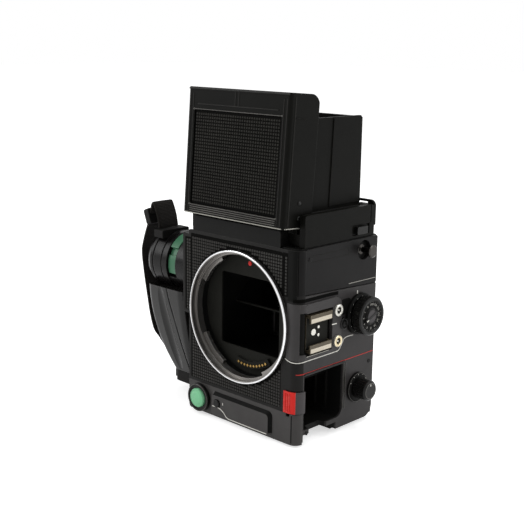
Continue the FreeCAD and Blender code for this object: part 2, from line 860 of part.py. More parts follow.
def accessory_shoe():
    """Pair of folded rails on a base plate, sized for a standard accessory foot."""
    low, high = shoe_span()
    x0 = body_right - 1.0
    x1 = x0 + shoe_plate
    x2 = x1 + shoe_slot_height
    x3 = x2 + shoe_lip
    y0 = shoe_front
    y1 = shoe_front + shoe_length
    shoe = box(x0, x3, y0, y1, low, high)
    half = shoe_slot_width / 2
    mouth = shoe_mouth_width / 2
    shoe = shoe.cut(box(x1, x2, y0 - 1, y1 + 1, shoe_centre_z - half, shoe_centre_z + half))
    shoe = shoe.cut(box(x1, x3 + 1, y0 - 1, y1 + 1, shoe_centre_z - mouth, shoe_centre_z + mouth))
    stop = box(x1, x2, y1 - 1.2, y1, shoe_centre_z - half, shoe_centre_z - half + 3)
    return shoe.fuse(stop).removeSplitter()


def shoe_contacts():
    """Large centre contact and two small ones in the shoe."""
    x0 = body_right - 1.0 + shoe_plate
    y = shoe_front + shoe_length * 0.32
    big = round_bar("x", (y, shoe_centre_z), 1.9, x0, x0 + 0.5)
    small = [round_bar("x", (y + 4.2, shoe_centre_z + dz), 0.9, x0, x0 + 0.5) for dz in (-2.3, 2.3)]
    return grouped([big] + small)


def sync_sockets():
    """Two round socket rings with their centre pins, open at the front."""
    top = side_face + socket_height
    sockets = []
    for z in (socket_upper_z, socket_lower_z):
        ring = round_bar("x", (socket_y, z), socket_radius, side_face, top)
        ring = ring.cut(round_bar("x", (socket_y, z), socket_bore, side_face + 0.5, top + 1))
        pin = round_bar("x", (socket_y, z), socket_pin_radius, side_face + 0.5, top - 0.4)
        sockets.append(ring.fuse(pin).removeSplitter())
    return grouped(sockets)


def lever_slot():
    wide = lever_stem + slide_gap
    reach = lever_stem + lever_travel + slide_gap
    return box(body_right - lever_depth, side_face + 1, lever_y - wide, lever_y + wide, lever_z - reach, lever_z + reach)


def lock_lever():
    """Small sliding knob beside the speed dial."""
    stem = box(body_right - lever_depth + seat_gap, side_face + slide_gap, lever_y - lever_stem, lever_y + lever_stem,
               lever_z - lever_stem, lever_z + lever_stem)
    knob = turned_x([(side_face + slide_gap, 0), (side_face + slide_gap, lever_radius),
                     (side_face + lever_height - 0.6, lever_radius),
                     (side_face + lever_height, lever_radius - 0.6), (side_face + lever_height, 0)], lever_y, lever_z)
    return stem.fuse(knob).removeSplitter()


def grooved(shape, y, z, radius, x0, x1, count, depth):
    """Cut finger grooves round a knob."""
    cutters = []
    for i in range(count):
        a = 2 * math.pi * i / count
        place = (y + (radius + depth * 0.4) * math.cos(a), z + (radius + depth * 0.4) * math.sin(a))
        cutters.append(prism_x(place, depth, x0, x1, a))
    return shape.cut(cutters)


def prism_x(place, size, x0, x1, turn):
    """Three sided bar along X used for finger grooves."""
    y, z = place
    corners = []
    for k in range(3):
        a = turn + math.pi + k * 2 * math.pi / 3
        corners.append(V(x0, y + size * 1.3 * math.cos(a), z + size * 1.3 * math.sin(a)))
    corners.append(corners[0])
    return Part.Face(Part.makePolygon(corners)).extrude(V(x1 - x0, 0, 0))


def dial_collars():
    """Fixed stepped seats of the speed dial and the mode dial."""
    speed_top = side_face + dial_collar_height
    speed = turned_x([(side_face, 0), (side_face, dial_collar_radius), (speed_top - 0.8, dial_collar_radius),
                      (speed_top, dial_collar_radius - 1.2), (speed_top, 0)], dial_y, dial_z)
    mode_top = side_face + mode_collar_height
    mode = turned_x([(side_face, 0), (side_face, mode_collar_radius), (mode_top - 0.9, mode_collar_radius),
                     (mode_top, mode_collar_radius - 1.6), (mode_top, 0)], mode_y, mode_z)
    return grouped([speed, mode])


def speed_dial():
    """Tall knob with a dished face and finger grooves."""
    x0 = side_face + dial_collar_height + slide_gap
    x1 = x0 + dial_height
    r = dial_radius
    knob = turned_x([(x0, 0), (x0, r - 1.4), (x0 + 1.4, r), (x1 - 0.7, r), (x1, r - 0.7), (x1, r - 2.0),
                     (x1 - 0.9, r - 2.6), (x1 - 0.9, 4.6), (x1 - 0.2, 4.0), (x1 - 0.2, 0)], dial_y, dial_z)
    return grooved(knob, dial_y, dial_z, r, x0 - 1, x1 - 1.2, dial_groove_count, 0.55)


def mode_dial():
    """Small rear switch knob with a raised pointer bar."""
    x0 = side_face + mode_collar_height + slide_gap
    x1 = x0 + mode_height
    r = mode_radius
    knob = turned_x([(x0, 0), (x0, r), (x1 - 0.9, r), (x1, r - 0.9), (x1, 0)], mode_y, mode_z)
    return grooved(knob, mode_y, mode_z, r, x0 - 1, x1 - 1.6, mode_groove_count, 0.5)


def strap_lugs():
    """Mushroom headed posts for the carrying strap, one on each side."""
    lugs = []
    for x, way in ((body_right, 1), (body_left, -1)):
        root = x - way * (lug_recess_depth - side_skin)
        tip = x + way * lug_reach
        profile = [(root, 0), (root, 3.0), (root + way * 0.8, 3.0), (root + way * 1.2, lug_post_radius),
                   (tip - way * 2.0, lug_post_radius), (tip - way * 1.4, lug_head_radius),
                   (tip - way * 0.4, lug_head_radius), (tip, lug_head_radius - 0.6), (tip, 0)]
        lugs.append(turned_x(profile, lug_y, lug_z))
    return grouped(lugs)


def cover_screws():
    """Countersunk screws of the side and upper covers."""
    places = [(side_front + 3.4, body_top - 6.0), (side_front + 3.4, chin_bottom + 6.0), (side_rear - 4.0, -30.0)]
    return grouped([round_bar("x", p, screw_radius, side_face, side_face + 0.25) for p in places])


# Battery latch

def latch_slot():
    bottom = latch_top - latch_height - latch_travel
    return box(latch_left + 1.4 - slide_gap, latch_left + 3.6 + slide_gap, 0, skin_back + 4,
               bottom + 1.4, latch_top - 1.4)


def latch_corner(inner, outer, z0, z1, start, end):
    """Curved slice that wraps the front corner."""
    cx = cover_right
    cy = skin_back + corner_radius

    def at(radius, angle):
        a = math.radians(angle)
        return V(cx + radius * math.cos(a), cy + radius * math.sin(a), z0)
    middle = (start + end) / 2
    edges = [
        Part.Arc(at(outer, start), at(outer, middle), at(outer, end)).toShape(),
        Part.LineSegment(at(outer, end), at(inner, end)).toShape(),
        Part.Arc(at(inner, end), at(inner, middle), at(inner, start)).toShape(),
        Part.LineSegment(at(inner, start), at(outer, start)).toShape(),
    ]
    return Part.Face(Part.Wire(edges)).extrude(V(0, 0, z1 - z0))


def latch_cap():
    """Coloured front half of the battery latch, with its guide stem."""
    z1 = latch_top
    z0 = latch_top - latch_height
    inner = corner_radius + front_skin + slide_gap
    outer = inner + latch_thickness
    back = skin_back + corner_radius - inner
    front = back - latch_thickness
    face = box(latch_left, cover_right, front, back, z0, z1)
    corner = latch_corner(inner, outer, z0, z1, -90, latch_cap_end)
    stem = box(latch_left + 1.4, latch_left + 3.6, back - 0.1, skin_back + 4 - slide_gap, z0 + 1.4 + slide_gap,
               z1 - 1.4 - slide_gap)
    ribs = [box(latch_left + 1.0 + i * 1.6, latch_left + 1.6 + i * 1.6, front - 0.35, front + 0.1, z0 + 1, z1 - 1)
            for i in range(3)]
    return face.fuse([corner, stem] + ribs).removeSplitter()


def latch_tail():
    """Side half of the latch that reaches the edge of the battery bay."""
    z1 = latch_top
    z0 = latch_top - latch_height
    inner = corner_radius + front_skin + slide_gap
    outer = inner + latch_thickness
    corner = latch_corner(inner, outer, z0, z1, latch_cap_end, 0)
    cy = skin_back + corner_radius
    leg = box(cover_right + inner, cover_right + outer, cy, bay_front, z0, z1)
    return corner.fuse(leg).removeSplitter()


def battery_contacts():
    """Three sprung blades at the top of the battery bay."""
    blades = []
    for i in range(3):
        y = bay_front + 8 + i * 7
        profile = [(bay_inner_x, bay_step_z), (bay_inner_x + 6, bay_step_z), (bay_inner_x + 3, bay_step_z - 2.4)]
        blades.append(plate("y", [(p[0], p[1]) for p in profile], y, y + 3))
    return grouped(blades)


def bay_ribs():
    """Upright guide ribs on the bay's inner wall and rear wall, as one with the housing."""
    ribs = []
    for i in range(bay_rib_count):
        y = bay_front + 4 + i * bay_rib_pitch
        ribs.append(box(bay_inner_x - 1, bay_inner_x + bay_rib_rise, y, y + bay_rib_width, bay_floor_top - 1, bay_step_z - 4))
    for x in (bay_step_x - 8, bay_step_x):
        ribs.append(box(x, x + bay_rib_width, bay_rear - bay_rib_rise, bay_rear + 1, bay_floor_top - 1, bay_step_z + 1))
    return ribs


# Front buttons

def release_collar():
    """Turned collar round the shutter release, with a sunk step inside its rim."""
    front = front_face - release_collar_rise
    bore = release_radius + slide_gap
    step = bore + release_collar_step
    return turned_y([(front + 0.6, bore), (front + 0.6, step), (front, step + 0.2), (front, release_collar_radius - 0.7),
                     (front + 0.7, release_collar_radius), (skin_back, release_collar_radius),
                     (skin_back, bore)], release_x, release_z)


def release_back():
    return skin_back + button_guide


def lockup_back():
    return skin_back + button_guide


def release_button():
    """Domed shutter release."""
    front = front_face - release_collar_rise - release_rise
    back = release_back()
    return turned_y([(front, 0), (front + 0.15, release_radius * 0.6), (front + 0.7, release_radius - 0.7),
                     (front + 1.4, release_radius), (back, release_radius), (back, 0)], release_x, release_z)


def lockup_button():
    """Small button for mirror pre-release."""
    front = front_face - tongue_rise - lockup_rise
    back = lockup_back()
    return turned_y([(front, 0), (front, lockup_radius - 0.4), (front + 0.4, lockup_radius), (back, lockup_radius),
                     (back, 0)], lockup_x, lockup_z)


# Underside

def base_plate():
    m = base_margin
    shape = rounded_box("z", body_left + m, body_right - m, skin_back + base_front_margin, body_rear - m,
                        base_bottom, body_bottom, 4)
    shape = shape.cut(bay_cut(0.3))
    return shape.cut(round_bar("z", (tripod_x, tripod_y), tripod_flange, base_bottom - 1, body_bottom + 1))


def tripod_bush():
    """Threaded bush for a tripod screw, with a flange that meets the base."""
    bush = round_bar("z", (tripod_x, tripod_y), tripod_flange, base_bottom, body_bottom + 2)
    bush = bush.fuse(round_bar("z", (tripod_x, tripod_y), tripod_radius + 2, base_bottom, base_bottom + tripod_depth))
    return bush.cut(round_bar("z", (tripod_x, tripod_y), tripod_radius, base_bottom - 1,
                              base_bottom + tripod_depth + 1)).removeSplitter()


def feet():
    """Rubber pads in the corners of the base plate that the bay leaves free."""
    x_low = body_left + foot_inset
    x_high = body_right - foot_inset
    y_low = skin_back + foot_inset
    y_high = body_rear - foot_inset
    places = [(x_low, y_low), (x_low, y_high), (x_high, y_high), (bay_inner_x - foot_inset, y_low)]
    return grouped([round_bar("z", p, foot_radius, base_bottom - foot_height, base_bottom) for p in places])


# Finder frame

def finder_frame():
    """Removable frame that carries the lid and the hood walls."""
    low = rounded_box("z", finder_left, finder_right, finder_front, finder_rear, finder_floor, finder_low, 2)
    half = finder_window_half
    low = low.cut(box(-half, half, finder_window_front, finder_window_rear, 0, finder_low + 1))
    sides = []
    for x0, x1 in ((finder_left, finder_left + finder_wall), (finder_right - finder_wall, finder_right)):
        sides.append(plate("x", [(finder_side_front, finder_floor, 0), (finder_rear - 2, finder_floor, 0),
                                 (finder_rear - 2, finder_low - 1, 0), (finder_rear, finder_low - 1, 0),
                                 (finder_rear, finder_top, 4), (finder_side_front, finder_top, 1.5)], x0, x1))
    frame = low.fuse(sides + [rear_rim()] + lid_ears() + wall_posts())
    frame = frame.cut(round_bar("x", (lid_pin_y, lid_pin_z), lid_pin_radius, -lid_half_width, lid_half_width))
    for place in ((wall_pin_x, right_wall_pin_z), (-wall_pin_x, left_wall_pin_z)):
        frame = frame.cut(round_bar("y", place, wall_pin_radius, ear_front(), finder_rear - 1))
    rear = (rear_wall_y, rear_wall_pin_z)
    frame = frame.cut(round_bar("x", rear, wall_pin_radius, -rear_pin_reach(), rear_pin_reach()))
    frame = frame.cut(seam_groove())
    return frame.cut([catch_slot(), catch_dish()]).removeSplitter()


def rear_rim():
    """Upright back plate with a rounded rim and a slot under it."""
    y0 = finder_rear - finder_rear_bar
    top = finder_top + finder_rim_rise
    rim = rounded_box("y", finder_left, finder_right, y0, finder_rear, finder_low - 2 * finder_rim_round, top,
                      finder_rim_round)
    rim = rim.common(box(finder_left, finder_right, y0, finder_rear, finder_low - 1, top))
    slot_top = top - finder_rim_slot
    inset = finder_wall + 1
    return rim.cut(box(finder_left + inset, finder_right - inset, y0 - 1, finder_rear + 1, finder_top - 0.5, slot_top))


def seam_groove():
    """Shadow line down the side plates in front of the rear rim."""
    y0 = finder_rear - finder_seam
    z0 = finder_low + 1
    return grouped([box(x - 0.5, x + 0.5, y0, y0 + 0.8, z0, finder_top + 1) for x in (finder_left, finder_right)])


def ear_front():
    return lid_pin_y - 2.4


def rear_pin_reach():
    return wall_pin_x + wall_knuckle


def lid_ears():
    """Two ears that reach over the ridge, hold the lid's pin and the front ends of the side wall pins."""
    ears = []
    front = ear_front()
    rear = wall_front_low - slide_gap
    for way, pin_z in ((1, right_wall_pin_z), (-1, left_wall_pin_z)):
        top = pin_z + wall_pin_radius + 1.1
        profile = [(finder_front, finder_low - 1, 0), (rear, finder_low - 1, 0), (rear, top, 1.0), (front, top, 1.5),
                   (front, lid_pin_z - 2.2, 1.0), (finder_front, ridge_top + 1.0, 0)]
        x0, x1 = sorted((way * finder_ear_inner, way * finder_ear_outer))
        ears.append(plate("x", profile, x0, x1))
    return ears


def wall_posts():
    """Posts at the rear that hold the pins of the two side walls and of the rear wall."""
    posts = []
    for way, pin_z in ((1, right_wall_pin_z), (-1, left_wall_pin_z)):
        outer = finder_right - finder_wall if way > 0 else -finder_left - finder_wall
        x0, x1 = sorted((way * (wall_pin_x - wall_knuckle), way * (outer + 0.5)))
        top = pin_z + wall_pin_radius + 1.1
        posts.append(box(x0, x1, wall_rear + slide_gap, finder_rear - 1, finder_low - 1, top))
    return posts


def finder_pins():
    """Steel pins of the lid, the side walls and the rear wall."""
    lid = round_bar("x", (lid_pin_y, lid_pin_z), lid_pin_radius, -lid_pin_reach(), lid_pin_reach())
    sides = [round_bar("y", place, wall_pin_radius, ear_front(), finder_rear - 1)
             for place in ((wall_pin_x, right_wall_pin_z), (-wall_pin_x, left_wall_pin_z))]
    rear = round_bar("x", (rear_wall_y, rear_wall_pin_z), wall_pin_radius, -rear_pin_reach(), rear_pin_reach())
    return grouped([lid] + sides + [rear])


def lid_pin_reach():
    return lid_half_width - lid_wall / 2


def catch_low():
    return finder_floor + 2.0


def catch_slot():
    start = catch_front + 2.0
    return box(finder_right - catch_depth, finder_right + 1, start, start + catch_stem + catch_travel + 2 * slide_gap,
               catch_low() + 1.0, catch_low() + catch_height - 1.0)


def catch_dish():
    """Shallow recess that the catch slides in."""
    return box(finder_right - catch_recess, finder_right + 1, catch_front - 3.0,
               catch_front + catch_length + catch_travel + slide_gap, catch_low() - 0.5, finder_low + 1)


def finder_catch():
    """Sliding catch that frees the finder."""
    face = finder_right - catch_recess + slide_gap
    start = catch_front + 2.0 + slide_gap
    stem = box(finder_right - catch_depth + seat_gap, face + 0.1, start, start + catch_stem,
               catch_low() + 1.0 + slide_gap, catch_low() + catch_height - 1.0 - slide_gap)
    knob = rounded_box("x", face, finder_right + 1.6, catch_front, catch_front + catch_length,
                       catch_low(), catch_low() + catch_height, 0.8)
    return stem.fuse(knob).removeSplitter()


# Lid

def lid_shell():
    """Tray shaped lid with side skirts, drawn upright and then leaned back."""
    w = lid_half_width
    tray = plate("z", [(-w, 0, lid_corner), (w, 0, lid_corner), (w, lid_depth, 0.8), (-w, lid_depth, 0.8)], 0, lid_length)
    side = plate("x", [(-1, -1, 0), (lid_depth, -1, 0), (lid_depth, lid_length, lid_shoulder), (0, lid_length, 1.5),
                       (-1, lid_length - 3, 0)], -w - 1, w + 1)
    tray = tray.common(side)
    inner = plate("x", [(lid_wall + lid_recess, -1, 0), (lid_depth + 1, -1, 0), (lid_depth + 1, lid_length - lid_wall, 0),
                        (lid_depth - 1, lid_length - lid_wall, 0), (lid_wall + lid_recess, lid_length - lid_wall, 1.0)],
                  -w + lid_wall, w - lid_wall)
    tray = tray.cut(inner)
    side = w - lid_side_border
    panel = rounded_box("y", -side, side, -1, lid_recess, lid_border, lid_length - lid_band, 0.8)
    tray = tray.cut(panel)
    tray = tray.cut(round_bar("x", (lid_pin_back, lid_pin_up), lid_pin_radius + run_gap, -w + 0.9, w - 0.9))
    for way in (-1, 1):
        x0, x1 = sorted((way * (magnifier_half_width + 0.4), way * (magnifier_half_width + 3.4)))
        pivot = round_bar("x", (magnifier_pivot_back, magnifier_pivot_up), magnifier_pin_radius + 1.3, x0, x1)
        web = box(x0, x1, lid_recess + lid_wall / 2, magnifier_pivot_back, magnifier_pivot_up - 2.2,
                  magnifier_pivot_up + 2.2)
        tray = tray.fuse([pivot, web])
    bore = magnifier_half_width + 3.4
    tray = tray.cut(round_bar("x", (magnifier_pivot_back, magnifier_pivot_up), magnifier_pin_radius + run_gap, -bore, bore))
    return leaned(tray.removeSplitter())


def lid_leatherette():
    """Grained inlay of the lid."""
    w = lid_half_width - lid_side_border - 0.02
    inlay = rounded_box("y", -w, w, lid_recess - 0.5, lid_recess, lid_border + 0.02, lid_length - lid_band - 0.02, 0.8)
    return leaned(inlay)


def magnifier_frame():
    """Swinging arm that holds the magnifier, folded against the lid at rest."""
    y = magnifier_pivot_back
    z = magnifier_pivot_up
    t = magnifier_thickness
    half = magnifier_half_width
    arm = plate("y", [(-half, z - magnifier_length, 5), (half, z - magnifier_length, 5), (half, z, 1.5), (-half, z, 1.5)],
                y - t / 2, y + t / 2)
    knuckle = round_bar("x", (y, z), magnifier_pin_radius + 1.0, -half, half)
    arm = arm.fuse(knuckle)
    centre = z - magnifier_length + lens_radius + 3.0
    arm = arm.cut(round_bar("y", (0, centre), lens_radius, y - 10, y + 10))
    reach = half + 3.2
    return leaned(arm.fuse(round_bar("x", (y, z), magnifier_pin_radius, -reach, reach)).removeSplitter())


def magnifier_lens():
    """Biconvex glass in the magnifier arm, the common part of a disc and two balls."""
    z = magnifier_pivot_up - magnifier_length + lens_radius + 3.0
    y = magnifier_pivot_back
    half = lens_edge / 2
    bulge = half + lens_bulge
    ball = (lens_radius ** 2 + lens_bulge ** 2) / (2 * lens_bulge)
    lens = round_bar("y", (0, z), lens_radius, y - bulge, y + bulge)
    lens = lens.common(Part.makeSphere(ball, V(0, y + bulge - ball, z)))
    lens = lens.common(Part.makeSphere(ball, V(0, y - bulge + ball, z)))
    return leaned(lens)


# Hood walls

def side_wall(way, pin_z):
    """Side wall of the hood with a thicker rear half and a rolled hinge along its foot."""
    x_pin = way * wall_pin_x
    x0 = x_pin - wall_thickness / 2
    x1 = x_pin + wall_thickness / 2
    leaf = plate("x", [(wall_front_low, pin_z, 0), (wall_rear, pin_z, 0), (wall_rear, wall_top, 1.0),
                       (wall_front_high, wall_top, 1.5)], x0, x1)
    outer = x_pin + way * wall_thickness / 2
    s0, s1 = sorted((outer - way * 0.1, outer + way * wall_seam_step))
    step = plate("x", [(wall_seam_low, pin_z + 3.0, 0), (wall_rear - 0.6, pin_z + 3.0, 0),
                       (wall_rear - 0.6, wall_top - 0.6, 0.5), (wall_seam_high, wall_top - 0.6, 0.5)], s0, s1)
    knuckle = round_bar("y", (x_pin, pin_z), wall_knuckle, wall_front_low + wall_knuckle_start, wall_rear)
    wall = leaf.fuse([step, knuckle])
    return wall.cut(round_bar("y", (x_pin, pin_z), wall_pin_radius + run_gap, 0, finder_rear)).removeSplitter()


def rear_wall():
    """Rear wall of the hood, a flanged sheet with its rolled hinge."""
    w = rear_wall_half_width
    y0 = rear_wall_y - wall_thickness / 2
    y1 = rear_wall_y + wall_thickness / 2
    leaf = plate("y", [(-w, rear_wall_pin_z, 0), (w, rear_wall_pin_z, 0), (w, rear_wall_top, 1.5), (-w, rear_wall_top, 1.5)], y0, y1)
    frame = plate("y", [(-w, rear_wall_pin_z + 8, 0), (w, rear_wall_pin_z + 8, 0), (w, rear_wall_top, 1.5),
                        (-w, rear_wall_top, 1.5)],
                  y1, y1 + 1.0)
    frame = frame.cut(box(-w + 2.5, w - 2.5, y1 - 1, y1 + 2, 0, rear_wall_top - 2.5))
    knuckle = round_bar("x", (rear_wall_y, rear_wall_pin_z), wall_knuckle, -w, w)
    wall = leaf.fuse([frame, knuckle])
    return wall.cut(round_bar("x", (rear_wall_y, rear_wall_pin_z), wall_pin_radius + run_gap, -w - 1, w + 1)).removeSplitter()


# Grip

def grip_base():
    """Fixed rosette on the body that the grip turns on, with its shaft."""
    x1 = bulge_left
    x0 = x1 - grip_base_thickness
    disc = round_bar("x", (grip_y, grip_z), grip_base_radius, x0, x1)
    shaft = round_bar("x", (grip_y, grip_z), grip_shaft_radius, x0 - grip_shaft_length, x0 + 0.5)
    return disc.fuse(shaft).removeSplitter()


def grip_face():
    return bulge_left - grip_base_thickness - slide_gap


def lever_face():
    return drum_inner + slide_gap + lever_ring_width


def grip_hub():
    """Thick neck of the grip that runs on the shaft, with a window that the lever turns in."""
    hub = round_bar("x", (grip_y, grip_z), hub_radius, drum_inner, grip_face())
    slack = math.degrees(slide_gap / lever_ring_inner)
    window = ring_sector(grip_y, grip_z, lever_ring_inner - slide_gap, hub_radius + 1, drum_inner - 1,
                         lever_face() + slide_gap, lever_ring_start - slack, lever_ring_end + lever_turn + slack)
    bore_end = bulge_left - grip_base_thickness - grip_shaft_length - 0.5
    return hub.cut([window, round_bar("x", (grip_y, grip_z), grip_shaft_radius + run_gap, bore_end, 0)])


def grip_release():
    """Curved lever in three steps, with a raised finger pad, that frees the grip's swivel."""
    x0 = drum_inner + slide_gap
    x1 = lever_face()
    steps = [(lever_ring_start, lever_step_high, lever_ring_outer + lever_pad_out),
             (lever_step_high, lever_step_low, lever_ring_outer - lever_step_in),
             (lever_step_low, lever_ring_end, lever_ring_outer)]
    parts = [ring_sector(grip_y, grip_z, lever_ring_inner, outer, x0, x1, start, end) for start, end, outer in steps]
    return parts[0].fuse(parts[1:]).removeSplitter()


def grip_drum():
    """Round head of the grip with two decorative grooves."""
    x1 = drum_inner
    r = drum_radius
    profile = [(x1, 0), (x1, r), (drum_groove_1 + drum_groove, r), (drum_groove_1 + drum_groove, r - drum_groove),
               (drum_groove_1, r - drum_groove), (drum_groove_1, r), (drum_groove_2 + drum_groove, r),
               (drum_groove_2 + drum_groove, r - drum_groove), (drum_groove_2, r - drum_groove), (drum_groove_2, r),
               (drum_end + drum_round, r), (drum_end + drum_round * 0.29, r - drum_round * 0.29),
               (drum_end, r - drum_round), (drum_end, 0)]
    drum = turned_x(profile, grip_y, grip_z)
    bore_end = bulge_left - grip_base_thickness - grip_shaft_length - 0.5
    return drum.cut(round_bar("x", (grip_y, grip_z), grip_shaft_radius + run_gap, bore_end, 0))


def handle_height(share):
    top = grip_z - drum_radius * 0.8
    return top + (handle_foot_z - top) * share


def handle_outer(share):
    """Outer face at a share of the handle's height; it swings in more and more towards the foot."""
    return handle_outer_top + (handle_outer_foot - handle_outer_top) * share ** handle_outer_bend


def handle_front(share):
    return handle_front_top + (handle_front_foot - handle_front_top) * share ** handle_front_bend


def handle_inner(share):
    return handle_inner_top + (handle_inner_foot - handle_inner_top) * share


def handle_section(share):
    """Rounded outline of the handle at a share of its height."""
    rear = handle_rear_top + (handle_rear_foot - handle_rear_top) * share
    corners = [(handle_outer(share), handle_front(share)), (handle_inner(share), handle_front(share)),
               (handle_inner(share), rear), (handle_outer(share), rear)]
    z = handle_height(share)
    return corner_wire([(x, y, handle_corner) for x, y in corners], lambda p: V(p.x, p.y, z))


def grip_handle():
    """Tapered handle below the drum, with a shallow valley down its front."""
    last = handle_section_count - 1
    handle = Part.makeLoft([handle_section(i / last) for i in range(handle_section_count)], True, True)
    handle = handle.cut(round_bar("x", (grip_y, grip_z), drum_radius, drum_end - 5, drum_inner))
    handle = handle.cut(round_bar("x", (grip_y, grip_z), hub_radius, drum_inner, bulge_left))
    return handle.cut([handle_valley()] + handle_seam())


def handle_valley():
    """Round bar that touches the front at both ends and dips into its bulge between them."""
    ends = []
    for share in (0, 1):
        middle = handle_outer(share) + (handle_inner(share) - handle_outer(share)) * handle_valley_place
        ends.append(V(middle, handle_front(share) - handle_valley_radius, handle_height(share)))
    return Part.makeCylinder(handle_valley_radius, (ends[1] - ends[0]).Length, ends[0], ends[1] - ends[0])


# The mould seam down the handle's front: share of the height, place across
seam_run = [(0.0, -69.5), (0.38, -63.8), (1.0, -56.8)]


def handle_seam():
    """Thin groove down the front, beside the valley."""
    points = [V(x, handle_front(share), handle_height(share)) for share, x in seam_run]
    bars = []
    for start, end in zip(points, points[1:]):
        bars.append(Part.makeCylinder(handle_seam_radius, (end - start).Length, start, end - start))
    return bars


def strap_band(points, width, thickness):
    """Flat band through (x, y, z) stations; y is the middle of its width."""
    wires = []
    for i, (x, y, z) in enumerate(points):
        before = points[max(i - 1, 0)]
        after = points[min(i + 1, len(points) - 1)]
        dx = after[0] - before[0]
        dz = after[2] - before[2]
        length = math.hypot(dx, dz)
        nx = -dz / length * thickness / 2
        nz = dx / length * thickness / 2
        a = width / 2
        corners = [V(x - nx, y - a, z - nz), V(x - nx, y + a, z - nz), V(x + nx, y + a, z + nz), V(x + nx, y - a, z + nz)]
        corners.append(corners[0])
        wires.append(Part.makePolygon(corners))
    band = Part.makeLoft(wires, True, True)
    if band.Volume < 0:
        band.reverse()
    return band


# The strap's run: distance out from the drum's end face, shift along y, share of the way from top anchor to foot
strap_run = [
    (-7.0, -6.0, -0.016), (-7.0, -6.3, -0.041), (-6.2, -6.6, -0.093), (-4.4, -7.0, -0.150), (-2.6, -7.0, -0.177),
    (-1.2, -7.0, -0.165), (-0.4, -7.0, -0.133), (1.2, -7.0, -0.086), (2.8, -7.0, -0.031), (5.1, -7.0, 0.026),
    (7.1, -7.0, 0.083), (8.6, -7.0, 0.136), (8.6, -7.0, 0.193), (7.8, -7.0, 0.247), (6.0, -7.0, 0.353),
    (3.8, -7.0, 0.458), (1.5, -7.0, 0.564), (-1.6, -6.5, 0.668), (-3.4, -3.5, 0.730), (-6.3, -1.0, 0.792),
    (-9.0, 1.5, 0.854), (-12.6, 4.0, 0.914),
]
buckle_station = 7


def strap_foot():
    """Middle of the strap's lower end in its clamp, and the floor of the clamp."""
    outer = handle_outer_foot + handle_cap_inset
    return outer - slide_gap - 0.1 - slide_gap - strap_thickness / 2, handle_foot_z - handle_cap + 1.0


def strap_stations():
    top = grip_z + drum_radius
    foot = handle_foot_z - handle_cap
    stations = [(drum_end - out, grip_y + shift, top + (foot - top) * share) for out, shift, share in strap_run]
    x, floor = strap_foot()
    for z in (floor + strap_clamp_height + slide_gap, floor + slide_gap):
        stations.append((x, strap_clamp_y, z))
    return stations


def hand_strap():
    return strap_band(strap_stations(), strap_width, strap_thickness)


def strap_anchors():
    """Bar on top of the drum, foot block under the handle and the clamp on it: they hold the strap's two ends."""
    top = grip_z + drum_radius
    x0 = drum_end + 5.0
    bar = rounded_box("x", x0, x0 + 8.0, grip_y - 16, grip_y + 6, top - 4.0, top + 1.2, 1)
    bar = bar.cut(round_bar("x", (grip_y, grip_z), drum_radius, drum_end - 5, drum_inner))
    outer = handle_outer_foot + handle_cap_inset
    front = handle_front_foot + handle_cap_inset
    low = handle_foot_z - handle_cap
    cap = rounded_box("z", outer, handle_inner_foot, front, handle_rear_foot, low, handle_foot_z, handle_corner)
    x, floor = strap_foot()
    half = strap_width / 2 + slide_gap
    wall = strap_clamp_wall
    deep = strap_thickness / 2 + slide_gap
    clamp = box(x - deep - wall, outer + handle_corner, strap_clamp_y - half - wall, strap_clamp_y + half + wall,
                low, floor + strap_clamp_height)
    pocket = box(x - deep, x + deep, strap_clamp_y - half, strap_clamp_y + half, floor, floor + strap_clamp_height + 1)
    return grouped([bar, cap.fuse(clamp).cut(pocket).removeSplitter()])


def strap_buckle():
    """Flat slider on the outer run of the strap, below its loop."""
    x, y, z = strap_stations()[buckle_station]
    wide = strap_width / 2 + 1.6
    thick = strap_thickness / 2 + 1.1
    buckle = rounded_box("x", x - thick, x + thick, y - wide, y + wide, z - 5.0, z + 5.0, 1.5)
    buckle.rotate(V(x, y, z), V(0, 1, 0), buckle_tilt)
    return buckle.cut(hand_strap())


